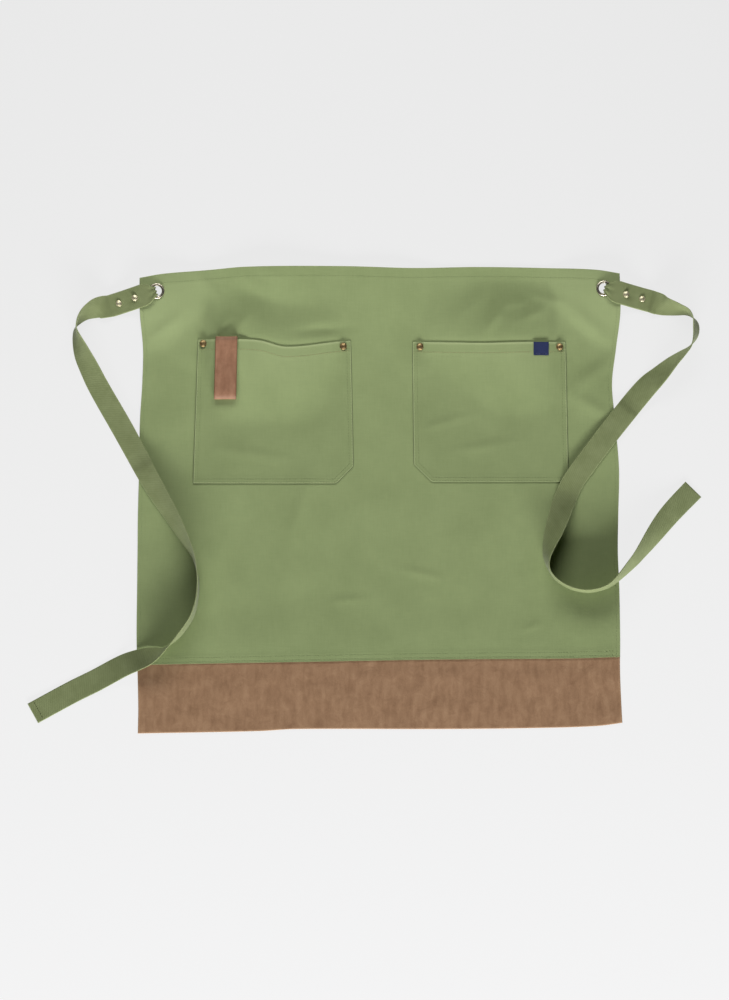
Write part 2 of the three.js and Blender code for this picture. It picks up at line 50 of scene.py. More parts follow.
# %% [markdown]
# The camera hangs straight above the apron, as for a catalogue picture. A short lens would lean
# the standing parts of the ties outwards, so a long lens is hung high up. The picture is 1350 mm
# tall at the table, and that with the lens gives the height of the camera.

# %% Camera straight above
PICTURE_TALL = 1.35
LENS = 120
SENSOR = 36
camera_data = bpy.data.cameras.new("camera")
camera_data.lens = LENS
camera_data.sensor_width = SENSOR
camera = bpy.data.objects.new("camera", camera_data)
camera.location = (0, 0, PICTURE_TALL * LENS / SENSOR)
bpy.context.collection.objects.link(camera)
bpy.context.scene.camera = camera
print("camera height in m:", round(camera.location.z, 3))

# %% [markdown]
# Every finish in this lesson is a small tree of nodes. Five helpers keep the trees short: one adds
# a node and gives its output, one starts a material, one links outputs into its shader, one makes
# a ramp of colours and one mixes two. The same could be drawn by hand in the shader editor. An
# output is asked for by its name, or by its number where several have the same name.

# %% Small helpers for nodes
MIX_COLOUR = 2
WAVE_VALUE = 1


def node(tree, kind, inputs=None, output=0, **options):
    """Adds a shader node and gives an output. An input that is a socket is linked, others are set."""
    made = tree.nodes.new("ShaderNode" + kind)
    for option, value in options.items():
        setattr(made, option, value)
    for name, value in (inputs or {}).items():
        if isinstance(value, bpy.types.NodeSocket):
            tree.links.new(value, made.inputs[name])
        else:
            made.inputs[name].default_value = value
    return made.outputs[output]


def finish_of(name, **sockets):
    """A new material, its node tree and its Principled shader with constant sockets set."""
    material = bpy.data.materials.new(name)
    material.use_nodes = True
    shader = material.node_tree.nodes["Principled BSDF"]
    for socket, value in sockets.items():
        shader.inputs[socket.replace("_", " ")].default_value = value
    return material, material.node_tree, shader


def feed(tree, shader, **sockets):
    """Links outputs into the named sockets of a shader."""
    for socket, output in sockets.items():
        tree.links.new(output, shader.inputs[socket.replace("_", " ")])


def ramp(tree, value, *stops):
    """Colours along a value from 0 to 1: each stop is a position and a colour."""
    colours = node(tree, "ValToRGB", {"Fac": value}, "Color")
    elements = colours.node.color_ramp.elements
    while len(elements) < len(stops):
        elements.new(0.5)
    for element, (position, colour) in zip(elements, stops):
        element.position = position
        element.color = (*colour, 1)
    return colours


def mix_colours(tree, share, first, second):
    """Goes from the colour of an output to a second, fixed colour as the share goes from 0 to 1."""
    inputs = {"Factor": share, "A": first, "B": (*second, 1)}
    return node(tree, "Mix", inputs, MIX_COLOUR, data_type="RGBA")


print("helpers for nodes are ready")

# %% [markdown]
# The table is a wide pale plane. A catalogue table is lit from below and around until it shows
# next to no shadow, so most of its brightness is its own glow and only a part is reflected light.
# The glow rises a little from the waist end to the hem end, along the table's own Y.

# %% Table
TABLE_SIZE = 60
TABLE_GLOW = 0.85
TABLE_GREY = (0.04, 0.04, 0.04, 1)
TABLE_TONES = [(0, (0.87, 0.87, 0.87)), (0.5, (0.935, 0.935, 0.935)), (1, (0.985, 0.985, 0.988))]
bpy.ops.object.select_all(action="DESELECT")
bpy.ops.mesh.primitive_plane_add(size=TABLE_SIZE, location=(0, 0, 0))
table_top = bpy.context.object
table_top.name = "table_top"
paint, tree, shader = finish_of(
    "pale_table", Roughness=0.9, Emission_Strength=TABLE_GLOW, Base_Color=TABLE_GREY
)
down = node(tree, "SeparateXYZ", {"Vector": node(tree, "TexCoord", output="Object")}, "Y")
share = node(tree, "MapRange", {"Value": down, "From Min": PICTURE_TALL / 2, "From Max": -PICTURE_TALL / 2})
feed(tree, shader, Emission_Color=ramp(tree, share, *TABLE_TONES))
table_top.data.materials.append(paint)
print("table glow", TABLE_GLOW)

# %% [markdown]
# The studio is a ring of light: pale walls glow low down all round, a wide softbox stands low at
# the hem end and a small one higher at the waist end. Low light is what shows the folds of a flat
# cloth and fills the bows of the ties with shade. A single overhead light would be simpler, but
# it would make the cloth look like paper. Each softbox has its turn and its rise in degrees, its
# distance, width and height in metres, and its watts.

# %% Studio light
SOFTBOXES = {
    "hem_low": (4, 18, 4.0, 3.6, 1.0, 325),
    "waist_high": (185, 35, 1.6, 1.4, 0.5, 21),
}
for name, (azimuth, elevation, distance, wide, tall, watts) in SOFTBOXES.items():
    turn, up = math.radians(azimuth), math.radians(elevation)
    away = Vector((math.sin(turn) * math.cos(up), -math.cos(turn) * math.cos(up), math.sin(up)))
    lamp_data = bpy.data.lights.new(name, "AREA")
    lamp_data.shape = "RECTANGLE"
    lamp_data.size = wide
    lamp_data.size_y = tall
    lamp_data.energy = watts
    lamp = bpy.data.objects.new(name, lamp_data)
    lamp.location = away * distance
    lamp.rotation_euler = away.to_track_quat("Z", "Y").to_euler()
    lamp.visible_camera = False
    bpy.context.collection.objects.link(lamp)

WALL_GLOW = 2.4
CEILING_GLOW = 0.06
WALL_TOP = 22
WALL_FADE = (0.08, 0.12)
studio = bpy.data.worlds.new("studio")
studio.use_nodes = True
tree = studio.node_tree
height = node(tree, "SeparateXYZ", {"Vector": node(tree, "TexCoord", output="Generated")}, "Z")
edge = math.sin(math.radians(WALL_TOP))
glow = node(tree, "MapRange", {
    "Value": height, "From Min": edge - WALL_FADE[0], "From Max": edge + WALL_FADE[1],
    "To Min": WALL_GLOW, "To Max": CEILING_GLOW,
})
tree.links.new(glow, tree.nodes["Background"].inputs["Strength"])
bpy.context.scene.world = studio
bpy.context.scene.view_settings.view_transform = "Standard"
print("softboxes:", ", ".join(SOFTBOXES))

# %% [markdown]
# The outline of the apron is set by a few places along each edge, joined by smooth lines as a
# pattern cutter joins them with a curved ruler. All of these sizes are in millimetres.

# %% Plan of the apron
LEFT_SIDE = [
    (-316, -306), (-281, -305.4), (-232, -306.4), (-184, -307.6), (-119, -307), (-70, -306.4), (-22, -306),
    (43, -304.2), (108, -303), (157, -300), (205, -299), (254, -303), (316, -303),
]
RIGHT_SIDE = [
    (-316, 349), (-281, 347), (-232, 345), (-184, 345), (-119, 344), (-70, 342), (-22, 342.5),
    (43, 343.5), (108, 338), (157, 334), (205, 339.5), (254, 345), (316, 343.5),
]
TOP_EDGE = [
    (-305, 299.5), (-273, 305), (-209, 310.5), (-160, 314.5), (-30, 315.5),
    (60, 313), (150, 314.5), (245, 313), (310, 310.5), (346, 305),
]
SEAM_LINE = [(-310, -222.5), (-144, -219.5), (102, -215.2), (272, -213.8), (350, -211.5)]
HEM_LINE = [
    (-310, -315.3), (-144, -312), (-95, -309.2), (99, -309.2), (229, -307.8), (310, -305), (350, -299.7),
]


def line(rows, place):
    """Value of a smooth line through rows of (place, value)."""
    at, value = np.array(rows, float).T
    last = len(at) - 1
    before = np.maximum(np.arange(last + 1) - 1, 0)
    after = np.minimum(np.arange(last + 1) + 1, last)
    slope = (value[after] - value[before]) / (at[after] - at[before])
    place = np.clip(place, at[0], at[-1])
    i = np.clip(np.searchsorted(at, place), 1, last)
    span = at[i] - at[i - 1]
    t = (place - at[i - 1]) / span
    hold = (1 + 2 * t) * (1 - t) ** 2 * value[i - 1] + t * t * (3 - 2 * t) * value[i]
    return hold + span * (t * (1 - t) ** 2 * slope[i - 1] - t * t * (1 - t) * slope[i])


def rise(value, low, high):
    """Goes smoothly from 0 at low to 1 at high."""
    t = np.clip((value - low) / (high - low), 0, 1)
    return t * t * (3 - 2 * t)


def fade(value, near, far):
    """Goes smoothly from 1 at near to 0 at far."""
    return 1 - rise(value, near, far)


def dent(value, at, width):
    """A soft dent of depth 1 at one place of a value."""
    return np.exp(-(((value - at) / width) ** 2))


def on_plan(low_edge, high_edge, u, v):
    """Places across the apron: u runs from side to side, v from the low edge to the high one."""
    left, right = line(LEFT_SIDE, 0), line(RIGHT_SIDE, 0)
    across = left + (right - left) * u
    low, high = line(low_edge, across), line(high_edge, across)
    y = low + (high - low) * v
    left, right = line(LEFT_SIDE, y), line(RIGHT_SIDE, y)
    return left + (right - left) * u, y


panel_width = float(line(RIGHT_SIDE, 0) - line(LEFT_SIDE, 0))
panel_height = float(line(TOP_EDGE, 0) - line(SEAM_LINE, 0))
print("canvas at the middle in mm:", round(panel_width, 1), "by", round(panel_height, 1))

# %% [markdown]
# A patch pocket is sewn down on three sides, with one lower corner cut off. Its mouth is held at
# the two rivets and is puffed up between them, so the cloth climbs to the mouth from three
# creases that make a wide letter V. Each crease is a place and the heading in which it climbs.
# Mouth and foot are a left end, a right end and a level. The dip of the mouth has its depth, and
# its place and the widths of its two sides as shares of the mouth.

# %% Plan of the pockets
POCKETS = [
    {
        "name": "left", "mouth": (-224.8, -18.2, 216.4), "foot": (-231.5, -14.2, 22), "cut": 1,
        "dip": (10, 0.58, 0.13, 0.3), "creases": [(-130, 105, 90), (-16.9, 172.8, 140), (-231.5, 162, 34)],
    },
    {
        "name": "right", "mouth": (64.4, 271.4, 213.2), "foot": (66.7, 275.4, 24), "cut": -1,
        "dip": (1.5, 0.45, 0.24, 0.24), "creases": [(170, 114.8, 90), (68.2, 186.3, 57), (277, 155, 146)],
    },
]
CHAMFER = 24
PUFF_SLOPE = 0.145
PUFF_REACH = 90
PANEL_SHARE = 0.975
MOUTH_LIP = 0.08
LIP_REACH = 8
CREASE_ROUND = 4
CREASE_SOFT = 3.5
SEAM_REACH = 26
LEFT_GAPE = (-120.0, 205.0)


def pocket_sides(pocket, y):
    """Left and right edge of a pocket at a level."""
    foot, mouth = pocket["foot"], pocket["mouth"]
    share = (y - foot[2]) / (mouth[2] - foot[2])
    return foot[0] + (mouth[0] - foot[0]) * share, foot[1] + (mouth[1] - foot[1]) * share


def pocket_mouth(pocket, x):
    """Level of the mouth of a pocket, with its dip."""
    left, right, level = pocket["mouth"]
    depth, at, before, after = pocket["dip"]
    share = (x - left) / (right - left)
    return level - depth * dent(share, at, np.where(share < at, before, after))


def from_cut_side(pocket, x):
    """Distance from the side whose lower corner is cut off."""
    left, right, _ = pocket["foot"]
    return right - x if pocket["cut"] > 0 else x - left


def from_seam_edge(pocket, x, y):
    """Distance from the nearest sewn edge of a pocket."""
    left, right = pocket_sides(pocket, y)
    above = y - pocket["foot"][2]
    slant = (from_cut_side(pocket, x) + above - CHAMFER) / math.sqrt(2)
    return np.minimum.reduce([x - left, right - x, above, slant])


def soft_least(values, sharpness):
    """The least of some values, rounded where two of them meet."""
    return -np.log(sum(np.exp(-value / sharpness) for value in values)) * sharpness


def puff(pocket, x, y):
    """How far the cloth is puffed up at a pocket, under its mouth and fading out above it."""
    mouth = pocket_mouth(pocket, x)
    low = np.minimum(y, mouth)
    inside = []
    for crease_x, crease_y, heading in pocket["creases"]:
        c, s = math.cos(math.radians(heading)), math.sin(math.radians(heading))
        inside.append((x - crease_x) * c + (low - crease_y) * s)
    climb = CREASE_SOFT * np.logaddexp(0, soft_least(inside, CREASE_ROUND) / CREASE_SOFT)
    climb = climb * rise(from_seam_edge(pocket, x, low), 0, SEAM_REACH)
    above = y - mouth
    lip = 1 + MOUTH_LIP * rise(above, 0, LIP_REACH)
    return PUFF_SLOPE * climb * lip * fade(above, LIP_REACH, PUFF_REACH)


print("puff at the left mouth in mm:", round(float(puff(POCKETS[0], *LEFT_GAPE)), 2))

# %% [markdown]
# Cloth is never quite flat. It is raised in large soft folds, by the puffs of the pockets, and
# where it laps over the leather, over the webbing at the corners and over the backs of the
# rivets. The largest of these lifts wins at each place. Small creases and slow ripples sit on top
# of them. A cloth simulation would give other folds than the real ones, so each fold is given one
# by one, with its middle, heading, half length, a half width on each side, and height. A lift has
# its height, the radius in which it is level and the radius at which it ends.

# %% Folds and hems of the canvas
CANVAS = 1.2
HEM_EXTRA = 0.15
LEATHER = 1.6
TABLE_GAP = 0.1
TOP_HEM = 15
SIDE_HEM = 7
SEAM_HEM = (10, 14)
HEM_STEP = 4
SIDE_STITCH = 5
TOP_STITCH = 13
SEAM_STITCHES = (2.6, 8)
STITCH_PULL = 0.05
HEM_DENT = 0.9
SEAM_DENT = 0.8
BAND_LAP = 12
LAP_FLAT = 2
LAP_RAMP = 90
LAP_SPARE = 0.2
EYELETS = {"eyelet_left": (-279.9, 281.5), "eyelet_right": (322.5, 285.1)}
POCKET_RIVETS = [(0, -217.6, 211), (0, -28.6, 207.2), (1, 74.8, 206.8), (1, 263.1, 206.6)]
CORNER_LIFT = (9, 2, 88)
RIVET_LIFT = (1.5, 22, 50)
FOLDS = [
    (-52, 222, 0, 44, 46, 60, 5), (140, 224, 0, 44, 46, 60, 5), (230, 216, 0, 44, 50, 60, 5),
    (36, 300, 0, 50, 300, 60, 4.5), (-120, 314, 0, 90, 300, 60, 9), (312, 126, 0, 38, 52, 60, 3),
    (-275, 95, 0, 40, 60, 90, 3), (300, -178, 0, 44, 42, 30, 2.6), (-128, 300, -60, 24, 14, 14, 1.5),
    (-87, -54, 80, 70, 35, 35, 1.2), (115, -81, 100, 80, 40, 40, 1.2),
]
CREASES = [
    (-204, 282, -50, 24, 8, 8, 2.6), (-189, 236, 55, 16, 6, 6, 2.6), (-168, 238, 50, 20, 9, 9, 2.2),
    (-172, 270, -46, 30, 9, 9, 1.6), (-140, 286, -36, 30, 9, 9, 1.4), (-58, 229, 5, 30, 7, 6, -2.4),
    (176, 246, 62, 22, 7, 7, 3), (150, 268, 50, 30, 10, 10, 1.6), (228, 252, 28, 22, 8, 8, 2),
    (244, 272, -16, 24, 7, 7, 1.5), (206, 266, 8, 20, 6, 6, 1.4), (300, 240, -40, 34, 10, 10, 2),
    (-268, 232, 40, 30, 10, 10, 2), (310, 172, 40, 34, 10, 10, 1.8), (304, 128, -30, 30, 9, 9, 1.4),
    (-86, -8, 74, 44, 10, 10, 1.6), (-200, -80, 78, 80, 14, 14, 1.4), (150, -60, 74, 50, 14, 14, 1.2),
    (75, -99, -12, 28, 6, 6, 0.8), (-22, -135, 5, 20, 5, 5, 0.7), (226, -171, 25, 12, 5, 5, 0.7),
    (110, 105, 16, 34, 6, 6, 0.7), (160, 72, 10, 40, 7, 7, 0.7), (-150, 62, -8, 44, 8, 8, 0.7),
]
RIPPLE_LENGTHS = (170, 95, 60)
RIPPLE_HEIGHT = 0.3
RIPPLE_SEED = 3
RIPPLE_WAVES = 4
LIFT_SHARPNESS = 4
print("folds:", len(FOLDS), "creases:", len(CREASES))

# %% [markdown]
# The height of the canvas is a function of the place, so that whatever lies on it can ask for it:
# pockets, rivets, stitches and ties. Its thickness is another function, because a hem is doubled
# and a row of stitches pulls the cloth in.

# %% Heights of the canvas
def ridge(x, y, fold):
    """Height of one fold, with one half width on its left and another on its right."""
    fold_x, fold_y, heading, length, left, right, height = fold
    c, s = math.cos(math.radians(heading)), math.sin(math.radians(heading))
    along = ((x - fold_x) * c + (y - fold_y) * s) / length
    across = (y - fold_y) * c - (x - fold_x) * s
    across = across / np.where(across > 0, left, right)
    return height * np.exp(-along * along - across * across)


def ripples(x, y, lengths, seed):
    """Slow waves in many headings, between about -1 and 1."""
    draw = np.random.default_rng(seed)
    total = 0
    for length in lengths:
        for _ in range(RIPPLE_WAVES):
            heading, phase = draw.uniform(0, 2 * math.pi, 2)
            along = x * math.cos(heading) + y * math.sin(heading)
            total = total + np.sin(along * 2 * math.pi / length + phase)
    return total / (2 * len(lengths))


def canvas_under(x, y):
    """Height of the back of the canvas."""
    lap = fade(y - line(SEAM_LINE, x), BAND_LAP + LAP_FLAT, BAND_LAP + LAP_RAMP)
    lifts = [PANEL_SHARE * puff(pocket, x, y) for pocket in POCKETS]
    lifts += [sum(ridge(x, y, fold) for fold in FOLDS), (LEATHER + LAP_SPARE) * lap]
    raised = [(*place, *CORNER_LIFT) for place in EYELETS.values()]
    raised += [(*place, *RIVET_LIFT) for _, *place in POCKET_RIVETS]
    for lift_x, lift_y, height, level, reach in raised:
        lifts.append(height * fade(np.hypot(x - lift_x, y - lift_y), level, reach))
    large = sum(np.maximum(lift, 0) ** LIFT_SHARPNESS for lift in lifts) ** (1 / LIFT_SHARPNESS)
    small = sum(ridge(x, y, crease) for crease in CREASES)
    small = small + RIPPLE_HEIGHT * (1 + ripples(x, y, RIPPLE_LENGTHS, RIPPLE_SEED))
    return TABLE_GAP + np.maximum(large + small, 0)


def canvas_thick(x, y):
    """Thickness of the canvas: doubled in its hems, pulled in along its stitches."""
    from_side = np.minimum(x - line(LEFT_SIDE, y), line(RIGHT_SIDE, y) - x)
    from_top = line(TOP_EDGE, x) - y
    from_seam = y - line(SEAM_LINE, x)
    side, top = fade(from_side, SIDE_HEM, SIDE_HEM + HEM_STEP), fade(from_top, TOP_HEM, TOP_HEM + HEM_STEP)
    turned = HEM_EXTRA * np.maximum.reduce([side, top, fade(from_seam, *SEAM_HEM)])
    pulled = np.maximum(dent(from_side, SIDE_STITCH, HEM_DENT), dent(from_top, TOP_STITCH, HEM_DENT))
    pulled = pulled + np.maximum(*(dent(from_seam, row, SEAM_DENT) for row in SEAM_STITCHES))
    return CANVAS + turned - STITCH_PULL * pulled


def canvas_top(x, y):
    """Height of the front of the canvas."""
    return canvas_under(x, y) + canvas_thick(x, y)


print("canvas height at a top corner in mm:", round(float(canvas_top(*EYELETS["eyelet_left"])), 2))

# %% [markdown]
# The canvas is a plain weave of cotton, dyed green. Seen close it has crossing threads, short
# thicker threads called slubs, and a cloudy tone from washing. All three are textures on the
# cloth's own metres, so the weave has its true size wherever the cloth lies. Edges that rub wear
# paler. The mesh also carries painted light and shade: a value on its points, above nought for
# paler, which is wear and painted light, and below it for deeper, which is painted shade.

# %% Canvas finish
SLUB_SCALE = (60, 560, 60)
WARP_SCALE = (620, 50, 60)
PAINTED_SHADE_SHARE = 0.3


def wear_and_painted_light_of(tree):
    """The value of wear and painted light that a mesh carries."""
    return node(tree, "Attribute", output="Fac", attribute_name="wear_and_painted_light")


def cloth_finish(name, dark, light, worn_and_lit, weave_scale):
    """Woven cotton: clouds and slubs of tone, crossing threads as bump, pale wear and painted light,
    painted shade.
    """
    material, tree, shader = finish_of(
        name, Roughness=0.92, Specular_IOR_Level=0.15, Sheen_Weight=0.12, Sheen_Roughness=0.5
    )
    place = node(tree, "TexCoord", output="Object")
    clouds = node(tree, "TexNoise", {"Vector": place, "Scale": 14, "Detail": 5, "Roughness": 0.6})
    stretched = node(tree, "Mapping", {"Vector": place, "Scale": SLUB_SCALE})
    slubs = node(tree, "TexNoise", {"Vector": stretched, "Scale": 1, "Detail": 2})
    upright = node(tree, "Mapping", {"Vector": place, "Scale": WARP_SCALE})
    warps = node(tree, "TexNoise", {"Vector": upright, "Scale": 1, "Detail": 1})
    threads = node(tree, "Math", {0: slubs, 1: warps}, operation="ADD")
    halved = node(tree, "Math", {0: threads, 1: 0.5}, operation="MULTIPLY")
    tone = node(tree, "Mix", {"Factor": 0.35, "A": clouds, "B": halved})
    colour = ramp(tree, tone, (0.36, dark), (0.64, light))
    wear_and_painted_light = wear_and_painted_light_of(tree)
    pale = mix_colours(tree, wear_and_painted_light, colour, worn_and_lit)
    # Below nought the value is painted shade: the colour goes to a deep copy of the dark tone.
    painted_shade = node(tree, "Math", {0: wear_and_painted_light, 1: -1.0}, operation="MULTIPLY")
    shade_colour = tuple(PAINTED_SHADE_SHARE * value for value in dark)
    mixed = mix_colours(tree, painted_shade, pale, shade_colour)
    bands = {"Vector": place, "Scale": weave_scale, "Distortion": 0.8, "Detail": 1, "Detail Scale": 2}
    weft = node(tree, "TexWave", bands, WAVE_VALUE, bands_direction="Y")
    warp = node(tree, "TexWave", bands, WAVE_VALUE, bands_direction="X")
    crossed = node(tree, "Math", {0: weft, 1: warp}, operation="ADD")
    knots = node(tree, "Bump", {"Strength": 0.3, "Distance": 0.00008, "Height": crossed})
    both = node(tree, "Bump", {"Strength": 0.4, "Distance": 0.0001, "Height": threads, "Normal": knots})
    feed(tree, shader, Base_Color=mixed, Normal=both)
    return material


canvas = cloth_finish(
    "green_canvas", dark=(0.22, 0.273, 0.119), light=(0.253, 0.311, 0.14), worn_and_lit=(0.34, 0.4, 0.2),
    weave_scale=360,
)
print("made", canvas.name)

# %% [markdown]
# Every soft piece here is a closed sheet with a front and a back that meet in a rounded edge, the
# way a folded cloth edge does. Solidify would leave a square edge, so the two faces are made from
# one grid of places and share the points of the rim.

# %% Sewing a sheet from a grid
def spread(length, step, first, last):
    """Places from 0 to 1 along a length: close rows at both ends, even ones between."""
    count = round((length - first[-1] - last[-1]) / step)
    inner = np.linspace(first[-1], length - last[-1], count + 1)
    return np.concatenate([first[:-1], inner, length - np.array(last[:-1])[::-1]]) / length


def lattice(width, height, step, sides, low, high):
    """A grid from 0 to 1 over a sheet, and how far it is from three edges and from all four."""
    u, v = np.meshgrid(spread(width, step, sides, sides), spread(height, step, low, high))
    from_three = np.minimum.reduce([u * width, (1 - u) * width, v * height])
    return u, v, from_three, np.minimum(from_three, (1 - v) * height)


def rounded(from_edge, radius):
    """Share of the full thickness near a rounded edge."""
    return np.sqrt(1 - (1 - np.clip(from_edge / radius, 0, 1)) ** 2)


def quads(index):
    """Corners of the squares of a grid of point numbers."""
    return np.stack([index[:-1, :-1], index[:-1, 1:], index[1:, 1:], index[1:, :-1]], -1).reshape(-1, 4)


def sew(name, front, back, flat, material, wear_and_painted_light):
    """A closed sheet from grids in mm: its front, its back, the cloth's own plane, and its value of wear
    and painted light.
    """
    rows, columns = front.shape[:2]
    rim = np.ones((rows, columns), bool)
    rim[1:-1, 1:-1] = False
    number = np.arange(rows * columns).reshape(rows, columns)
    behind = number.copy()
    behind[~rim] = rows * columns + np.arange((~rim).sum())
    faced = np.where(rim[..., None], (front + back) / 2, front)
    points = np.concatenate([faced.reshape(-1, 3), back[~rim]]) * MM
    faces = np.concatenate([quads(number), quads(behind)[:, ::-1]])
    mesh = bpy.data.meshes.new(name)
    mesh.from_pydata(points.tolist(), [], faces.tolist())
    places = np.concatenate([flat.reshape(-1, 2), flat[~rim]]) * MM
    corners = np.empty(len(mesh.loops), np.int32)
    mesh.loops.foreach_get("vertex_index", corners)
    mesh.uv_layers.new(name="flat").data.foreach_set("uv", places[corners].ravel())
    worn_and_lit = np.concatenate([wear_and_painted_light.ravel(), wear_and_painted_light[~rim]])
    mesh.attributes.new("wear_and_painted_light", "FLOAT", "POINT").data.foreach_set("value", worn_and_lit)
    return hang_mesh(name, mesh, material)


def hang_mesh(name, mesh, material):
    """A smooth piece of the apron from a finished mesh."""
    mesh.polygons.foreach_set("use_smooth", np.ones(len(mesh.polygons), bool))
    mesh.materials.append(material)
    piece = bpy.data.objects.new(name, mesh)
    bpy.context.collection.objects.link(piece)
    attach(piece, "root")
    return piece


def laid(x, y, z):
    """Places in space from grids of x, y and z."""
    return np.stack(np.broadcast_arrays(x, y, z), -1)


def sew_laid(name, x, y, middle, half, material, wear_and_painted_light):
    """A sheet laid on the plan, from the height of its middle and half its thickness."""
    plane = laid(x, y, 0)[..., :2]
    return sew(name, laid(x, y, middle + half), laid(x, y, middle - half), plane, material, wear_and_painted_light)


print("squares of a grid of 3 by 3 points:", len(quads(np.arange(9).reshape(3, 3))))

# %% [markdown]
# The panel is one cut of canvas. Its top and side edges are turned over and stitched, and its
# lower edge laps over the leather. The grid has close rows where a hem ends or a stitch pulls the
# cloth in. The eyelet holes are cut by a boolean, as a punch would cut them.

# %% Canvas panel
PANEL_STEP = 3.4
EDGE_ROUND = 0.9
SIDE_ROWS = (0, 0.2, 0.5, 1, 1.8, 3, 4.1, 5, 5.9, 7, 7.8, 8.6, 10.5)
TOP_ROWS = (0, 0.2, 0.5, 1, 1.8, 4, 7.5, 10.5, 12, 13, 14, 15, 15.8, 16.6, 18.5)
SEAM_ROWS = (0, 0.2, 0.5, 1, 1.8, 2.6, 3.4, 5.2, 7.1, 8, 8.9, 10, 11, 12, 14)
EDGE_WEAR = 0.4
EDGE_RUB = (0.3, 1.8)
SEAM_PAINTED_SHADE = 0.85
SEAM_SHADE = (0.6, 2.2)
CORNER_PAINTED_LIGHT = 0.3
CORNER_FADE = (35, 115)
u, v, _, from_edge = lattice(panel_width, panel_height, PANEL_STEP, SIDE_ROWS, SEAM_ROWS, TOP_ROWS)
x, y = on_plan(SEAM_LINE, TOP_EDGE, u, v)
half = canvas_thick(x, y) / 2
middle = canvas_under(x, y) + half
half = half * rounded(from_edge, EDGE_ROUND)
from_eye = np.minimum.reduce([np.hypot(x - eye_x, y - eye_y) for eye_x, eye_y in EYELETS.values()])
# Paler edges are wear; the paler ring round each eyelet is painted light on the raised corners.
wear_and_painted_light = np.maximum(EDGE_WEAR * fade(from_edge, *EDGE_RUB), CORNER_PAINTED_LIGHT * fade(from_eye, *CORNER_FADE))
# Painted shade along the lower edge, where the canvas laps over the leather.
wear_and_painted_light = wear_and_painted_light - SEAM_PAINTED_SHADE * fade(v * panel_height, *SEAM_SHADE)
panel = sew_laid("canvas_panel", x, y, middle, half, canvas, wear_and_painted_light)

EYELET_HOLE = 7.9
PUNCH_SIDES = 40
PUNCH_DEPTH = 50
for hole_x, hole_y in EYELETS.values():
    bpy.ops.object.select_all(action="DESELECT")
    bpy.ops.mesh.primitive_cylinder_add(
        vertices=PUNCH_SIDES, radius=EYELET_HOLE * MM, depth=PUNCH_DEPTH * MM,
        location=(hole_x * MM, hole_y * MM, 0),
    )
    punch = bpy.context.object
    cut = panel.modifiers.new("punch", "BOOLEAN")
    cut.object = punch
    cut.solver = "EXACT"
    bpy.context.view_layer.objects.active = panel
    bpy.ops.object.modifier_apply(modifier=cut.name)
    bpy.data.objects.remove(punch, do_unlink=True)

TURNED_IN = 15
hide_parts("panel")

# %% [markdown]
# The band and the loop are soft brown leather, waxed and rubbed. It is mottled in patches, with
# faint streaks from the hide and a fine grain. Noise at two sizes gives the tones, and small
# Voronoi cells give the grain. A photograph of leather would be quicker, but it would repeat.

# %% Leather finishes
RUB_AND_SHADE_SHARE = 0.25


def leather_finish(name, place_of, dark, middle, light, streak_scale):
    """Leather: patches and streaks of tone, edges rubbed paler and painted shade where the value is below
    nought, grain and soft creases as bump.
    """
    material, tree, shader = finish_of(name, Specular_IOR_Level=0.35)
    place = node(tree, "TexCoord", output=place_of)
    mottle = {"Vector": place, "Scale": 62, "Detail": 7, "Roughness": 0.68, "Distortion": 0.6}
    patches = node(tree, "TexNoise", mottle)
    upright = node(tree, "Mapping", {"Vector": place, "Scale": streak_scale})
    streaks = node(tree, "TexNoise", {"Vector": upright, "Scale": 1, "Detail": 4, "Roughness": 0.6})
    tone = node(tree, "Mix", {"Factor": 0.48, "A": patches, "B": streaks})
    rubbed_and_shaded = node(tree, "Math", {0: wear_and_painted_light_of(tree), 1: RUB_AND_SHADE_SHARE, 2: tone}, operation="MULTIPLY_ADD")
    colour = ramp(tree, rubbed_and_shaded, (0.32, dark), (0.5, middle), (0.68, light))
    cells = {"Vector": place, "Scale": 900, "Randomness": 0.9}
    grain = node(tree, "TexVoronoi", cells, feature="DISTANCE_TO_EDGE")
    pores = node(tree, "Bump", {"Strength": 0.35, "Distance": 0.0003, "Height": grain})
    creased = node(tree, "Bump", {"Strength": 0.5, "Distance": 0.0006, "Height": patches, "Normal": pores})
    gloss = node(tree, "MapRange", {"Value": streaks, "To Min": 0.5, "To Max": 0.75})
    feed(tree, shader, Base_Color=colour, Normal=creased, Roughness=gloss)
    return material


band_leather = leather_finish(
    "mottled_leather", "Object", dark=(0.214, 0.116, 0.06), middle=(0.284, 0.163, 0.088),
    light=(0.354, 0.214, 0.12), streak_scale=(120, 34, 60),
)
loop_leather = leather_finish(
    "loop_leather", "UV", dark=(0.2, 0.094, 0.05), middle=(0.272, 0.137, 0.078),
    light=(0.345, 0.185, 0.11), streak_scale=(160, 30, 60),
)
print("made", band_leather.name, "and", loop_leather.name)

# %% [markdown]
# The band is one strip along the hem. Its upper edge is tucked under the canvas, where two rows of
# stitches hold it. Leather is stiffer than cloth, so it only flexes a little, and not at all in
# the seam.

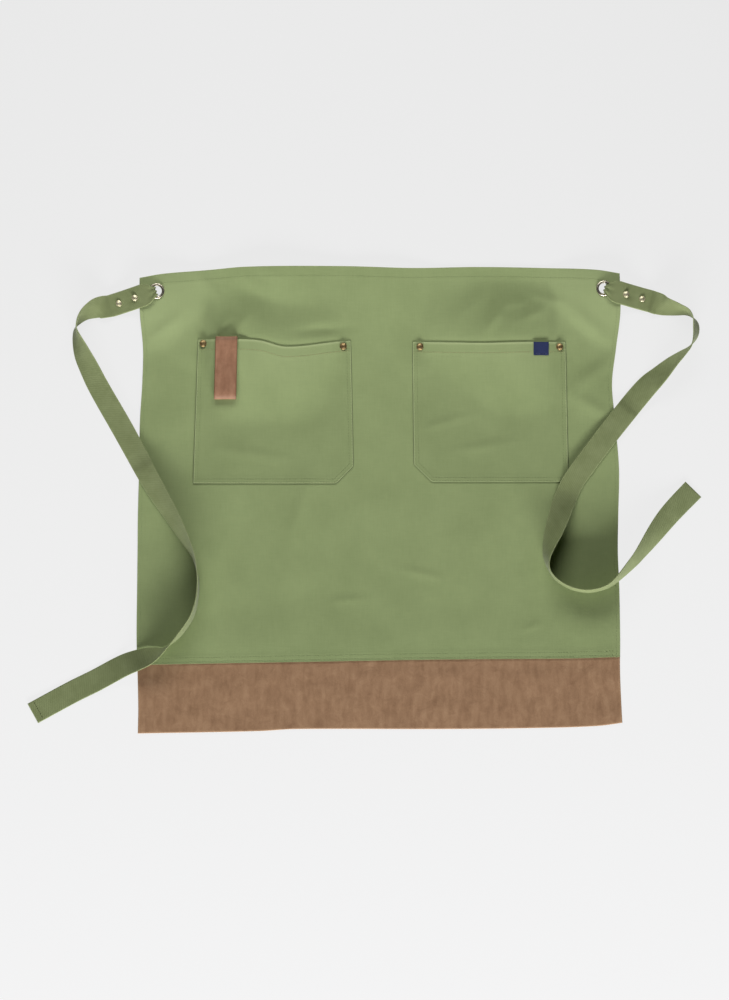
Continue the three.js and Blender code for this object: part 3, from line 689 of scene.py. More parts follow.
# %% Leather band
BAND_STEP = 4
BAND_ROWS = (0, 0.25, 0.7, 1.4, 3)
BAND_ROUND = 0.8
BAND_RUB = (0.5, 2.5)
FLEX_HEIGHT = 0.25
FLEX_LENGTHS = (90, 45)
FLEX_SEED = 8
FLEX_FADE = (-24, -8)
band_height = float(line(SEAM_LINE, 0) + BAND_LAP - line(HEM_LINE, 0))
u, v, _, from_edge = lattice(panel_width, band_height, BAND_STEP, BAND_ROWS, BAND_ROWS, BAND_ROWS)
tucked = [(place, value + BAND_LAP) for place, value in SEAM_LINE]
x, y = on_plan(HEM_LINE, tucked, u, v)
flex = FLEX_HEIGHT * (1 + ripples(x, y, FLEX_LENGTHS, FLEX_SEED))
middle = TABLE_GAP + LEATHER / 2 + flex * fade(y - line(SEAM_LINE, x), *FLEX_FADE)
half = LEATHER / 2 * rounded(from_edge, BAND_ROUND)
band = sew_laid("leather_band", x, y, middle, half, band_leather, fade(from_edge, *BAND_RUB))
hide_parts("hem_band")

# %% [markdown]
# The cloth of a pocket is hemmed at the mouth and turned in along its seams, so it is thicker
# there, and the fold of the mouth is pressed thin. It lies on the panel along its seams and stands
# off it where it gapes. Inside the left mouth it also leaves room for the end of the leather loop.

# %% Heights of the pockets
POCKET_CLOTH = 1.3
POCKET_HEM = 0.15
POCKET_GAP = 0.15
MOUTH_PRESSED = 0.7
SEAM_ALLOWANCE = 8.5
POCKET_STITCHES = (2, 6.2)
POCKET_DENT = 0.7
MOUTH_STITCH = 13.5
MOUTH_DENT = 0.8
LOOP_AT = -186
LOOP_ROOM = 2.7
LOOP_ROOM_SIDES = (17, 34)
LOOP_ROOM_DEPTH = (22, 62)


def pocket_thick(pocket, x, y):
    """Thickness of a pocket: more in its hems, less along its stitches and at its mouth."""
    seam, mouth = from_seam_edge(pocket, x, y), pocket_mouth(pocket, x) - y
    turned = fade(seam, SEAM_ALLOWANCE, SEAM_ALLOWANCE + HEM_STEP)
    turned = POCKET_HEM * np.maximum(turned, fade(mouth, TOP_HEM, TOP_HEM + HEM_STEP))
    pulled = sum(dent(seam, row, POCKET_DENT) for row in POCKET_STITCHES)
    pulled = STITCH_PULL * np.maximum(pulled, dent(mouth, MOUTH_STITCH, MOUTH_DENT))
    return POCKET_CLOTH + turned - pulled - MOUTH_PRESSED * fade(mouth, 0, TOP_HEM)


def loop_room(pocket, x, y):
    """Room between pocket and panel for the end of the leather loop inside the left mouth."""
    beside, below = np.abs(x - LOOP_AT), pocket_mouth(pocket, x) - y
    return LOOP_ROOM * fade(beside, *LOOP_ROOM_SIDES) * fade(below, *LOOP_ROOM_DEPTH)


def pocket_under(pocket, x, y):
    """Height of the back of a pocket: on the panel along its seams, off it where it gapes."""
    return canvas_top(x, y) + POCKET_GAP + (1 - PANEL_SHARE) * puff(pocket, x, y) + loop_room(pocket, x, y)


def pocket_top(pocket, x, y):
    """Height of the front of a pocket."""
    return pocket_under(pocket, x, y) + pocket_thick(pocket, x, y)


print("left mouth height in mm:", round(float(pocket_top(POCKETS[0], *LEFT_GAPE)), 2))

# %% [markdown]
# A pocket is a grid between its foot, its two sides and its mouth. The cut corner lifts the foot
# of the grid there, and the dip of the mouth lowers its top. The puffed cloth is painted paler as
# painted light, the whole pocket a little deeper and its tucked seam edges much deeper as painted
# shade, and its rims paler, partly by wear and partly as a painted highlight.

# %% Patch pockets
POCKET_STEP = 2.2
POCKET_ROUND = 0.5
SEAM_EDGE_ROWS = (0, 0.2, 0.5, 1, 1.5, 2, 2.5, 3.2, 4.5, 5.5, 6.2, 6.9, 8, 9, 10)
MOUTH_ROWS = (0, 0.2, 0.5, 1, 1.8, 4, 7, 10, 12, 12.8, 13.5, 14.2, 15, 16.2, 17.5)
PUFF_PAINTED_LIGHT = 0.022
POCKET_PAINTED_SHADE = 0.08
# The rims are paler: partly wear, partly a painted highlight.
RIM_WEAR_AND_HIGHLIGHT = 0.8
RIM_PALE_REACH = (1.3, 2.5)
TUCK_PAINTED_SHADE = 1.6
TUCK_SHADE = (0.3, 0.9)
for pocket in POCKETS:
    left, right, foot = pocket["foot"]
    level = pocket["mouth"][2]
    width, height = right - left, level - foot
    u, v, from_sewn, from_edge = lattice(
        width, height, POCKET_STEP, SEAM_EDGE_ROWS, SEAM_EDGE_ROWS, MOUTH_ROWS
    )
    low = foot + np.clip(CHAMFER - from_cut_side(pocket, left + width * u), 0, CHAMFER)
    side_left, side_right = pocket_sides(pocket, low + (level - low) * v)
    x = side_left + (side_right - side_left) * u
    y = low + (pocket_mouth(pocket, x) - low) * v
    half = pocket_thick(pocket, x, y) / 2
    middle = pocket_under(pocket, x, y) + half
    half = half * rounded(from_edge, POCKET_ROUND)
    # Painted shade along the tucked seam edges; the rims are paler by wear and a painted highlight.
    wear_and_painted_light = RIM_WEAR_AND_HIGHLIGHT * fade(from_edge, *RIM_PALE_REACH) - TUCK_PAINTED_SHADE * fade(from_sewn, *TUCK_SHADE)
    # Painted light on the puffed cloth, and painted shade over the whole pocket.
    wear_and_painted_light = wear_and_painted_light + PUFF_PAINTED_LIGHT * puff(pocket, x, y) - POCKET_PAINTED_SHADE
    piece = sew_laid(f"canvas_pocket_{pocket['name']}", x, y, middle, half, canvas, wear_and_painted_light)
    cut = ((width + 2 * TURNED_IN) * MM, (height + 2 * TURNED_IN) * MM)
    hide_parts(f"pocket_{pocket['name']}")
    print(piece.name, "faces:", len(piece.data.polygons))

# %% [markdown]
# The leather loop and the ties are straps. A strap is a strip with a route: its middle line, its
# crosswise direction, its width and its thickness at each place. A curve with a bevel could be
# used, but it can't be pinched or turned on edge as freely. Where a strap is pinched narrower than
# it is woven, it lies in pleats.

# %% Straps along a route
ACROSS = np.array([
    0, 0.006, 0.02, 0.045, 0.09, 0.16, 0.25, 0.36, 0.45,
    0.55, 0.64, 0.75, 0.84, 0.91, 0.955, 0.98, 0.994, 1,
])
END_ROWS = np.array([0, 0.15, 0.4, 0.8, 1.5])
STRAP_WIDTH = 30
STRAP_ROUND = 0.8
STRAP_EDGE_FADE = (0.3, 1.5)
PLEAT_DEPTH = 1.3
PLEAT_PINCH = 20
PLEAT_WAVES = 2.5
ROUTE_PLACES = 8


def unit(vectors):
    """The same directions with length 1."""
    return vectors / np.linalg.norm(vectors, axis=-1, keepdims=True)


def smooth_rows(rows, count):
    """Catmull-Rom curve through the rows of a table, with count places between two rows."""
    rows = np.array(rows, float)
    ends = np.concatenate([rows[:1], rows, rows[-1:]])
    t = np.linspace(0, 1, count, endpoint=False)[:, None]
    parts = []
    for a, b, c, d in zip(ends, ends[1:], ends[2:], ends[3:]):
        bend = (2 * a - 5 * b + 4 * c - d) * t * t
        twist = (3 * (b - c) + d - a) * t ** 3
        parts.append(b + 0.5 * ((c - a) * t + bend + twist))
    return np.concatenate([*parts, rows[-1:]])


def travelled(middles):
    """Distance along a path at each of its places."""
    return np.concatenate([[0], np.cumsum(np.linalg.norm(np.diff(middles, axis=0), axis=1))])


def strap(name, stations, steps, material, cup=0.0, edge_wear_and_painted_light=0.6):
    """A strip along stations of middle xyz, crosswise xyz, width and thickness.
    steps are distances along it. Returns the piece, and its middle, crosswise and normal there."""
    length = travelled(stations[:, :3])
    route = np.stack([np.interp(steps, length, column) for column in stations.T], -1)
    middles, across, widths, thicks = route[:, :3], unit(route[:, 3:6]), route[:, 6], route[:, 7]
    normal = unit(np.cross(across, unit(np.gradient(middles, axis=0))))
    share = ACROSS - 0.5
    from_end = np.minimum(steps, steps[-1] - steps)
    from_edge = np.minimum(from_end[:, None], (0.5 - np.abs(share)) * STRAP_WIDTH)
    half = thicks[:, None] / 2 * rounded(from_edge, STRAP_ROUND)
    pleats = PLEAT_DEPTH * np.clip((STRAP_WIDTH - widths) / PLEAT_PINCH, 0, 1)
    bow = cup * (4 * share ** 2 - 0.5) + pleats[:, None] * np.cos(share * 2 * math.pi * PLEAT_WAVES)
    aside = across[:, None] * (share[:, None] * widths[:, None, None])
    middle = middles[:, None] + aside + normal[:, None] * bow[..., None]
    lift = normal[:, None] * half[..., None]
    middle[..., 2] = np.maximum(middle[..., 2], TABLE_GAP + np.abs(lift[..., 2]))
    flat = np.stack(np.broadcast_arrays(share * STRAP_WIDTH, steps[:, None]), -1)
    # Edge values above nought make the edges paler, below nought they paint shade.
    wear_and_painted_light = edge_wear_and_painted_light * fade(from_edge, *STRAP_EDGE_FADE)
    return sew(name, middle + lift, middle - lift, flat, material, wear_and_painted_light), middles, across, normal


print("points across a strap:", len(ACROSS))

# %% [markdown]
# The leather loop is a strip folded over the mouth of the left pocket. It runs from inside the
# pocket, over the edge, down the front, round a fold and up again behind itself. Each row of its
# route is a place along Y and a height over the back of the pocket, so it follows the pocket, and
# it tilts with the pocket too. Its cut edges carry painted shade, darker than its face.

# %% Leather loop
LOOP_ROUTE = [
    (196, -2.1), (208, -2.1), (215.5, -2), (218.4, -1.2), (219.4, 0.8), (218.4, 3.2), (216, 4.4),
    (212, 4.7), (206, 4.3), (199, 3.7), (192, 3.4), (185, 4), (178, 5.2), (170, 6.8), (160, 8.5),
    (150, 9.6), (144.5, 9.8), (140.3, 9.2), (137.6, 7.5), (136.4, 5.5), (136.8, 3.7), (139, 2.3),
    (144, 1.7), (152, 1.6), (170, 1.6), (188, 1.6),
]
LOOP_MIDDLE = [(135, -187.8), (220, -185.5)]
LOOP_SEAT = 0.95
LOOP_STEP = 1.2
LOOP_CUP = -0.3
# The cut edges of the loop get painted shade.
LOOP_EDGE_SHADE = -1.2
MOUTH_SPARE = 0.5
route = smooth_rows(LOOP_ROUTE, ROUTE_PLACES)
loop_x = line(LOOP_MIDDLE, route[:, 0])
wall = np.minimum(route[:, 0], pocket_mouth(POCKETS[0], loop_x) - MOUTH_SPARE)
left, right = (pocket_under(POCKETS[0], loop_x + side * STRAP_WIDTH, wall) for side in (-0.5, 0.5))
loop_z = (left + right) / 2 + LOOP_SEAT + route[:, 1]
tilt = (right - left) / STRAP_WIDTH
ones = np.ones_like(loop_x)
stations = np.stack(
    [loop_x, route[:, 0], loop_z, ones, 0 * ones, tilt, STRAP_WIDTH * ones, LEATHER * ones], -1
)
loop_length = float(travelled(stations[:, :3])[-1])
steps = spread(loop_length, LOOP_STEP, END_ROWS, END_ROWS) * loop_length
loop, *_ = strap("leather_cloth_loop", stations, steps, loop_leather, LOOP_CUP, LOOP_EDGE_SHADE)
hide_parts("leather_loop")
print("loop length in mm:", round(loop_length, 1))

# %% [markdown]
# The label is a short piece of navy tape sewn on at the mouth of the right pocket. It is plain.
# Woven tape has fine ribs, which a wave on its own flat plane gives as bump. The webbing of the
# ties is the same finish with coarser ribs that run aslant.

# %% Cloth label
WORN_AND_LIT_SHARE = 1.25


def tape_finish(name, dark, light, rib_turn, rib_scale, rib_depth):
    """Woven tape: ribs at an angle to its length, with a cloudy tone and paler edges that are partly a
    painted highlight.
    """
    material, tree, shader = finish_of(name, Roughness=0.9, Specular_IOR_Level=0.15, Sheen_Weight=0.1)
    place = node(tree, "TexCoord", output="UV")
    turned = node(tree, "Mapping", {"Vector": place, "Rotation": (0, 0, rib_turn)})
    bands = {"Vector": turned, "Scale": rib_scale, "Distortion": 0.7, "Detail": 2, "Detail Scale": 3}
    ribs = node(tree, "TexWave", bands, WAVE_VALUE, bands_direction="X")
    clouds = node(tree, "TexNoise", {"Vector": place, "Scale": 40, "Detail": 5, "Roughness": 0.65})
    tone = node(tree, "Mix", {"Factor": 0.16, "A": clouds, "B": ribs})
    colour = ramp(tree, tone, (0.3, dark), (0.75, light))
    # Edges with a value above nought go paler: partly wear, partly a painted highlight along the rims of
    # the ties.
    worn_and_lit = tuple(WORN_AND_LIT_SHARE * value for value in light)
    mixed = mix_colours(tree, wear_and_painted_light_of(tree), colour, worn_and_lit)
    raised = node(tree, "Bump", {"Strength": 0.45, "Distance": rib_depth, "Height": ribs})
    feed(tree, shader, Base_Color=mixed, Normal=raised)
    return material


LABEL_LEFT, LABEL_RIGHT, LABEL_LOW, LABEL_HIGH = 227.5, 248.2, 195, 213
LABEL_THICK = 0.9
LABEL_SEAT = 1.6
LABEL_STEP = 0.8
LABEL_ROUND = 0.7
LABEL_STITCH = 2.2
LABEL_PULL = 0.3
LABEL_DENT = 0.6
navy_tape = tape_finish(
    "navy_tape", dark=(0.014, 0.02, 0.062), light=(0.024, 0.034, 0.1),
    rib_turn=0.0, rib_scale=560, rib_depth=0.0001,
)
width, height = LABEL_RIGHT - LABEL_LEFT, LABEL_HIGH - LABEL_LOW
u, v, _, from_edge = lattice(width, height, LABEL_STEP, END_ROWS, END_ROWS, END_ROWS)
x, y = LABEL_LEFT + width * u, LABEL_LOW + height * v
half = LABEL_THICK / 2 * rounded(from_edge, LABEL_ROUND)
middle = pocket_under(POCKETS[1], x, y) + LABEL_SEAT + LABEL_THICK / 2
middle = middle - LABEL_PULL * dent(y - LABEL_LOW, LABEL_STITCH, LABEL_DENT)
label = sew_laid("navy_label", x, y, middle, half, navy_tape, 0 * x)
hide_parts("label")
print("label faces:", len(label.data.polygons))

# %% [markdown]
# Each tie is a length of 30 mm cotton webbing. Its cut end lies under the apron. From there it
# comes up through the eyelet in a bunch, turns back over itself and is riveted, and then it runs
# off free, twisting as it goes. The doubled part is given by its distance out from the eyelet,
# height, width and thickness, and the free run by its place and its twist in degrees.

# %% Routes of the ties
WEBBING = 1.5
HEADINGS = {"left": (-0.9537, -0.3016), "right": (0.966, -0.259)}
TIE_UNDER = [
    (65, 1.3, 30, 1.5), (54, 1.5, 30, 1.5), (40, 3.8, 30, 1.5), (31, 5.8, 30, 1.5), (27, 6.2, 30, 1.5),
    (20, 6, 27, 1.5), (13, 6, 20, 1.5), (6, 6.2, 13, 1.5), (2.8, 6.7, 12, 1.8), (1.7, 8, 12, 2.2),
]
TIE_OVER = [
    (1.7, 12.4, 12, 2.2), (2.3, 13.8, 12.6, 2.2), (4.2, 14.7, 15, 2.2), (8.6, 14.6, 22.5, 1.8),
    (14, 13.8, 28, 1.5), (19, 12.7, 30, 1.5), (24, 11.4, 30, 1.5), (31, 9, 30, 1.5), (40, 6.2, 30, 1.5),
    (48, 4.2, 30, 1.5), (54, 3.5, 30, 1.5), (67, 3.4, 30, 1.5),
]
LEFT_RUN = [
    (-350, 260.4, 2), (-357, 259.1, 15), (-363.8, 257, 36), (-376, 249.8, 62), (-384.8, 239.2, 84),
    (-388.8, 226.5, 106), (-381.4, 200.5, 138), (-371.3, 178.2, 154), (-356.4, 148.5, 164),
    (-324, 91.8, 168), (-288.5, 27, 156), (-262.2, -16.2, 137), (-243, -50, 119), (-229.8, -77, 101),
    (-224.1, -108, 90),
    (-225.9, -135, 86), (-233.5, -159, 82), (-249.8, -182.3, 82), (-268, -200, 96), (-279, -205.4, 118),
    (-290.5, -210, 139), (-306, -215.6, 157), (-327.4, -224.4, 169), (-361.8, -243, 176),
    (-396.2, -260.1, 180), (-447.7, -288.1, 182),
]
RIGHT_RUN = [
    (390, 266.3, 2), (396.6, 264, 15), (404.3, 260.8, 38), (421.2, 256.5, 60), (433.4, 253.1, 76),
    (441.5, 246, 94), (446, 236, 109), (445.6, 222, 107), (438.8, 207.5, 90), (427.3, 197.1, 75),
    (413.8, 185.6, 60), (397.6, 169.4, 40), (376.7, 148.5, 14), (338.2, 101.3, -5), (302, 54, -7),
    (277.4, 17.6, -4), (257.2, -35.1, 34), (249.3, -58, 56), (245.4, -75.6, 74), (248, -92, 88),
    (258.5, -107, 86), (277.4, -118.1, 84), (299, -122.5, 82), (320.6, -118.8, 80), (336.8, -109.4, 76),
    (360.5, -85.1, 62), (374, -68.5, 53), (408.4, -23, 18), (443.9, 14.4, 2),
]
print("places on the free runs:", len(LEFT_RUN), "and", len(RIGHT_RUN))

# %% [markdown]
# Where the webbing stands on its edge it rests on what is under it, so the height of its middle
# line is worked out from the height of the cloth below. Webbing is stiff and does not follow every
# dip: from each high place it may only fall in a gentle slope. A cloth simulation could find the
# heights too, but it would not keep the run.

# %% Webbing ties
TIE_GAP = 0.5
TABLE_REST = 0.2
BAND_SPARE = 0.5
EDGE_CLEARANCE = 6
TIE_SLOPE = 0.3
TIE_SAG = 0.2
TIE_SMOOTH = 9
TIE_PROBES = 9
DOUBLED_PLACES = 10
DOUBLED_STEP = 1
FREE_STEP = 2.4
FREE_END_ROWS = np.arange(0, 12.1, 0.8)
RUN_START = 3.4
END_FOLD = 0.9
END_FOLD_FADE = (8.5, 10)


def under_tie(x, y):
    """Height of what a tie rests on, with its clearance."""
    near = EDGE_CLEARANCE
    inside = (x > line(LEFT_SIDE, y) - near) & (x < line(RIGHT_SIDE, y) + near)
    inside &= (y < line(TOP_EDGE, x) + near) & (y > line(HEM_LINE, x) - near)
    height = canvas_top(x, y)
    for pocket in POCKETS:
        left, right = pocket_sides(pocket, y)
        over = (x > left - near) & (x < right + near)
        over &= (y > pocket["foot"][2] - near) & (y < pocket["mouth"][2] + near)
        height = np.where(over, np.maximum(height, pocket_top(pocket, x, y)), height)
    height = np.where(y < line(SEAM_LINE, x) - near, LEATHER + BAND_SPARE, height)
    return np.where(inside, height + TIE_GAP, TABLE_REST)


def free_run(rows, hand):
    """Stations of the free part of a tie, resting on the cloth and the table."""
    run = smooth_rows(rows, ROUTE_PLACES)
    x, y, turn = run[:, 0], run[:, 1], np.radians(run[:, 2])
    along = unit(np.gradient(run[:, :2], axis=0))
    side = np.stack([along[:, 1], -along[:, 0]], -1) * hand
    offsets = np.linspace(-STRAP_WIDTH / 2, STRAP_WIDTH / 2, TIE_PROBES)
    level = np.cos(turn)[:, None] * offsets
    ground = under_tie(x[:, None] + side[:, :1] * level, y[:, None] + side[:, 1:] * level)
    rest = (ground - offsets * np.sin(turn)[:, None]).max(1) + WEBBING / 2 * np.abs(np.cos(turn))
    way = travelled(run[:, :2])
    apart = way[:, None] - way[None, :]
    tent = (rest[None, :] - TIE_SLOPE * np.abs(apart)).max(1)
    weights = np.exp(-((apart / TIE_SMOOTH) ** 2)) * np.gradient(way)
    z = np.maximum((weights * tent).sum(1) / weights.sum(1), tent - TIE_SAG)
    across = np.stack([side[:, 0] * np.cos(turn), side[:, 1] * np.cos(turn), np.sin(turn)], -1)
    size = np.broadcast_to([STRAP_WIDTH, WEBBING], (len(run), 2))
    return np.concatenate([np.stack([x, y, z], -1), across, size], 1)


def tie(side, rows, hand):
    """A tie from its cut end to its free end. Returns its middle, crosswise, normal and steps."""
    eye_x, eye_y = EYELETS[f"eyelet_{side}"]
    heading_x, heading_y = HEADINGS[side]
    start = smooth_rows(TIE_UNDER + TIE_OVER, DOUBLED_PLACES)[:-1]
    ones = np.ones(len(start))
    begin = np.stack([
        eye_x + heading_x * start[:, 0], eye_y + heading_y * start[:, 0], start[:, 1],
        heading_y * hand * ones, -heading_x * hand * ones, 0 * ones, start[:, 2], start[:, 3],
    ], -1)
    run = free_run(rows, hand)
    run[0, 2] = max(run[0, 2], RUN_START)
    stations = np.concatenate([begin, run])
    length = travelled(stations[:, :3])
    total, doubled = float(length[-1]), length[len(begin) - 1]
    free = total - doubled
    close = spread(doubled, DOUBLED_STEP, END_ROWS, (0,)) * doubled
    steps = np.concatenate([close[:-1], doubled + spread(free, FREE_STEP, (0,), FREE_END_ROWS) * free])
    if side == "left":
        stations[:, 7] += END_FOLD * fade(total - length, *END_FOLD_FADE)
    piece, *lie = strap(f"webbing_tie_{side}", stations, steps, webbing)
    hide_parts(f"tie_{side}")
    print(piece.name, "length in mm:", round(total, 1), "faces:", len(piece.data.polygons))
    return *lie, steps


webbing = tape_finish(
    "green_webbing", dark=(0.15, 0.178, 0.075), light=(0.215, 0.25, 0.118),
    rib_turn=math.radians(60), rib_scale=125, rib_depth=0.0002,
)
left_tie = tie("left", LEFT_RUN, 1)
tie("right", RIGHT_RUN, -1)

# %% [markdown]
# The metal is turned brass for the rivets and worn nickel for the eyelets. Handled metal has a
# dull film that lies in clouds and rubs off, so one noise sets both its colour and its gloss, and
# a finer one gives scratches as bump.

# %% Metal finishes
FILM_DULLS = 0.16
RUBBED_SHINES = 0.06


def metal_finish(name, bright, dull, roughness):
    """Worn metal: dull film in clouds, fine scratches as bump."""
    material, tree, shader = finish_of(name, Metallic=1.0)
    place = node(tree, "TexCoord", output="Object")
    film = node(tree, "TexNoise", {"Vector": place, "Scale": 420, "Detail": 4, "Roughness": 0.6})
    colour = ramp(tree, film, (0.35, dull), (0.62, bright))
    shine = {"Value": film, "To Min": roughness + FILM_DULLS, "To Max": roughness - RUBBED_SHINES}
    marks = node(tree, "TexNoise", {"Vector": place, "Scale": 2600, "Detail": 2})
    bump = node(tree, "Bump", {"Strength": 0.15, "Distance": 0.00005, "Height": marks})
    feed(tree, shader, Base_Color=colour, Roughness=node(tree, "MapRange", shine), Normal=bump)
    return material


old_brass = metal_finish("old_brass", (0.38, 0.27, 0.13), (0.17, 0.115, 0.052), roughness=0.44)
pale_brass = metal_finish("pale_brass", (0.8, 0.75, 0.53), (0.44, 0.4, 0.25), roughness=0.44)
nickel = metal_finish("worn_nickel", (0.58, 0.53, 0.42), (0.32, 0.29, 0.22), roughness=0.3)
print("made", old_brass.name, pale_brass.name, nickel.name)

# %% [markdown]
# A rivet has a domed head with a rolled rim in front, a shank through the cloth and a flat cap
# behind. One is modelled from a cylinder: insets that rise towards the middle make the head, and
# more insets and extrusions below make the shank and the cap. Each rivet is a copy of it,
# stretched so that head and cap sit on the two faces of the cloth.

# %% A rivet from a cylinder
RIVET_SIDES = 36
RIVET_REACH = 6
RIM_SHARE = 0.35
DOME_INSETS = [
    (0.08, 0.22), (0.1, 0.1), (0.06, -0.12), (0.14, 0.18), (0.18, 0.14), (0.2, 0.09), (0.14, 0.02),
]
CAP_START = 0.02
CAP_DISH = (0.2, 0.1)
RIVET_BEVEL = 0.12
RIVET_SMOOTH = 50
FACING = 0.9


def select_faces(test):
    """Selects the faces of the mesh in edit mode whose normal passes a test."""
    mesh = bmesh.from_edit_mesh(bpy.context.object.data)
    for face in mesh.faces:
        face.select = test(face.normal)
    mesh.select_flush_mode()
    bmesh.update_edit_mesh(bpy.context.object.data)


def extrude(height):
    """Extrudes the selected face along Z."""
    bpy.ops.mesh.extrude_region_move(TRANSFORM_OT_translate={"value": (0, 0, height)})


def rivet_pattern(name, sizes):
    """A rivet around the origin, with the seat of its head at 0."""
    head, dome, cap, cap_thick, shank = (size * MM for size in sizes)
    reach = RIVET_REACH * MM
    rim = RIM_SHARE * dome
    bpy.ops.object.select_all(action="DESELECT")
    bpy.ops.mesh.primitive_cylinder_add(
        vertices=RIVET_SIDES, radius=head, depth=rim, location=(0, 0, rim / 2)
    )
    piece = bpy.context.object
    piece.name = name
    bpy.ops.object.transform_apply(location=True, rotation=True, scale=True)
    bpy.ops.object.mode_set(mode="EDIT")
    bpy.ops.mesh.select_mode(type="FACE")
    select_faces(lambda normal: normal.z > FACING)
    for width, height in DOME_INSETS:
        bpy.ops.mesh.inset(thickness=width * head, depth=height * dome)
    select_faces(lambda normal: normal.z < -FACING)
    bpy.ops.mesh.inset(thickness=head - shank, depth=0)
    extrude(-reach)
    bpy.ops.mesh.inset(thickness=CAP_START * shank, depth=0)
    bpy.ops.transform.resize(value=(cap / shank, cap / shank, 1), center_override=(0, 0, -reach))
    extrude(-cap_thick)
    bpy.ops.mesh.inset(thickness=CAP_DISH[0] * cap, depth=CAP_DISH[1] * cap_thick)
    bpy.ops.mesh.select_all(action="SELECT")
    bpy.ops.mesh.normals_make_consistent(inside=False)
    bpy.ops.object.mode_set(mode="OBJECT")
    soft = piece.modifiers.new("soft_rim", "BEVEL")
    soft.width = RIVET_BEVEL * MM
    soft.segments = 2
    soft.limit_method = "ANGLE"
    bpy.ops.object.modifier_apply(modifier=soft.name)
    bpy.ops.object.shade_smooth_by_angle(angle=math.radians(RIVET_SMOOTH))
    return piece


def place_rivet(pattern, name, x, y, seat, back, material):
    """A copy of a rivet whose head sits at one height and whose cap lies at another, in mm."""
    mesh = pattern.data.copy()
    for point in mesh.vertices:
        lower = point.co.z < -RIVET_REACH / 2 * MM
        point.co.x += x * MM
        point.co.y += y * MM
        point.co.z += (back + RIVET_REACH if lower else seat) * MM
    mesh.materials.clear()
    mesh.materials.append(material)
    piece = bpy.data.objects.new(name, mesh)
    bpy.context.collection.objects.link(piece)
    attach(piece, "root")
    return piece


print("insets of a rivet's dome:", len(DOME_INSETS))

# %% [markdown]
# Four larger rivets of old brass hold the corners of the pocket mouths, and two small pale ones
# hold each doubled tie. Cloth is pressed under a rivet, so a head is seated on the highest place
# of the cloth in a ring under it, and a cap on the lowest. The sizes of a rivet are the radius of
# its head, the height of its dome, the radius and thickness of its cap, and the radius of its shank.

# %% Rivets in place
POCKET_RIVET_SIZES = (4.75, 2.3, 4.2, 0.6, 1.6)
TIE_RIVET_SIZES = (4.2, 1.9, 3.6, 0.5, 1.5)
HEAD_RING = 4.4
CAP_RING = 4.2
RING_PLACES = 12
TIE_RIVETS_OUT = (31, 54)
TIE_HEAD_IN = 3


def around(height, x, y, radius):
    """Heights on a ring round a place."""
    angles = np.linspace(0, 2 * math.pi, RING_PLACES, endpoint=False)
    return height(x + radius * np.cos(angles), y + radius * np.sin(angles))


def cloth_of(pocket):
    """The height of a pocket's front as a function of place."""
    def height(x, y):
        return pocket_top(pocket, x, y)
    return height


pattern = rivet_pattern("pocket_rivet_pattern", POCKET_RIVET_SIZES)
for count, (owner, x, y) in enumerate(POCKET_RIVETS, 1):
    seat = around(cloth_of(POCKETS[owner]), x, y, HEAD_RING).max()
    back = around(canvas_under, x, y, CAP_RING).min()
    piece = place_rivet(pattern, f"old_brass_rivet_{count}", x, y, seat, back, old_brass)
    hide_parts(f"pocket_rivet_{count}")
bpy.data.objects.remove(pattern, do_unlink=True)

pattern = rivet_pattern("tie_rivet_pattern", TIE_RIVET_SIZES)
back_ply = [(out, up) for out, up, *_ in TIE_UNDER[::-1]]
front_ply = [(out, up) for out, up, *_ in TIE_OVER[1:]]
tie_rivets = [(side, out) for side in HEADINGS for out in TIE_RIVETS_OUT]
for count, (side, out) in enumerate(tie_rivets, 1):
    eye_x, eye_y = EYELETS[f"eyelet_{side}"]
    x, y = eye_x + HEADINGS[side][0] * out, eye_y + HEADINGS[side][1] * out
    seat = float(line(front_ply, out - TIE_HEAD_IN)) + WEBBING / 2
    back = float(line(back_ply, out)) - WEBBING / 2
    piece = place_rivet(pattern, f"pale_brass_rivet_{count}", x, y, seat, back, pale_brass)
    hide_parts(f"tie_rivet_{count}")
bpy.data.objects.remove(pattern, do_unlink=True)
print("rivets:", len(POCKET_RIVETS) + len(tie_rivets))

# %% [markdown]
# An eyelet is a short tube whose two ends are rolled out over the cloth. Its section is drawn as a
# ring of points and spun once round the middle of the hole, which leaves a clean closed ring. The
# section is a radius and a height over the back of the canvas.

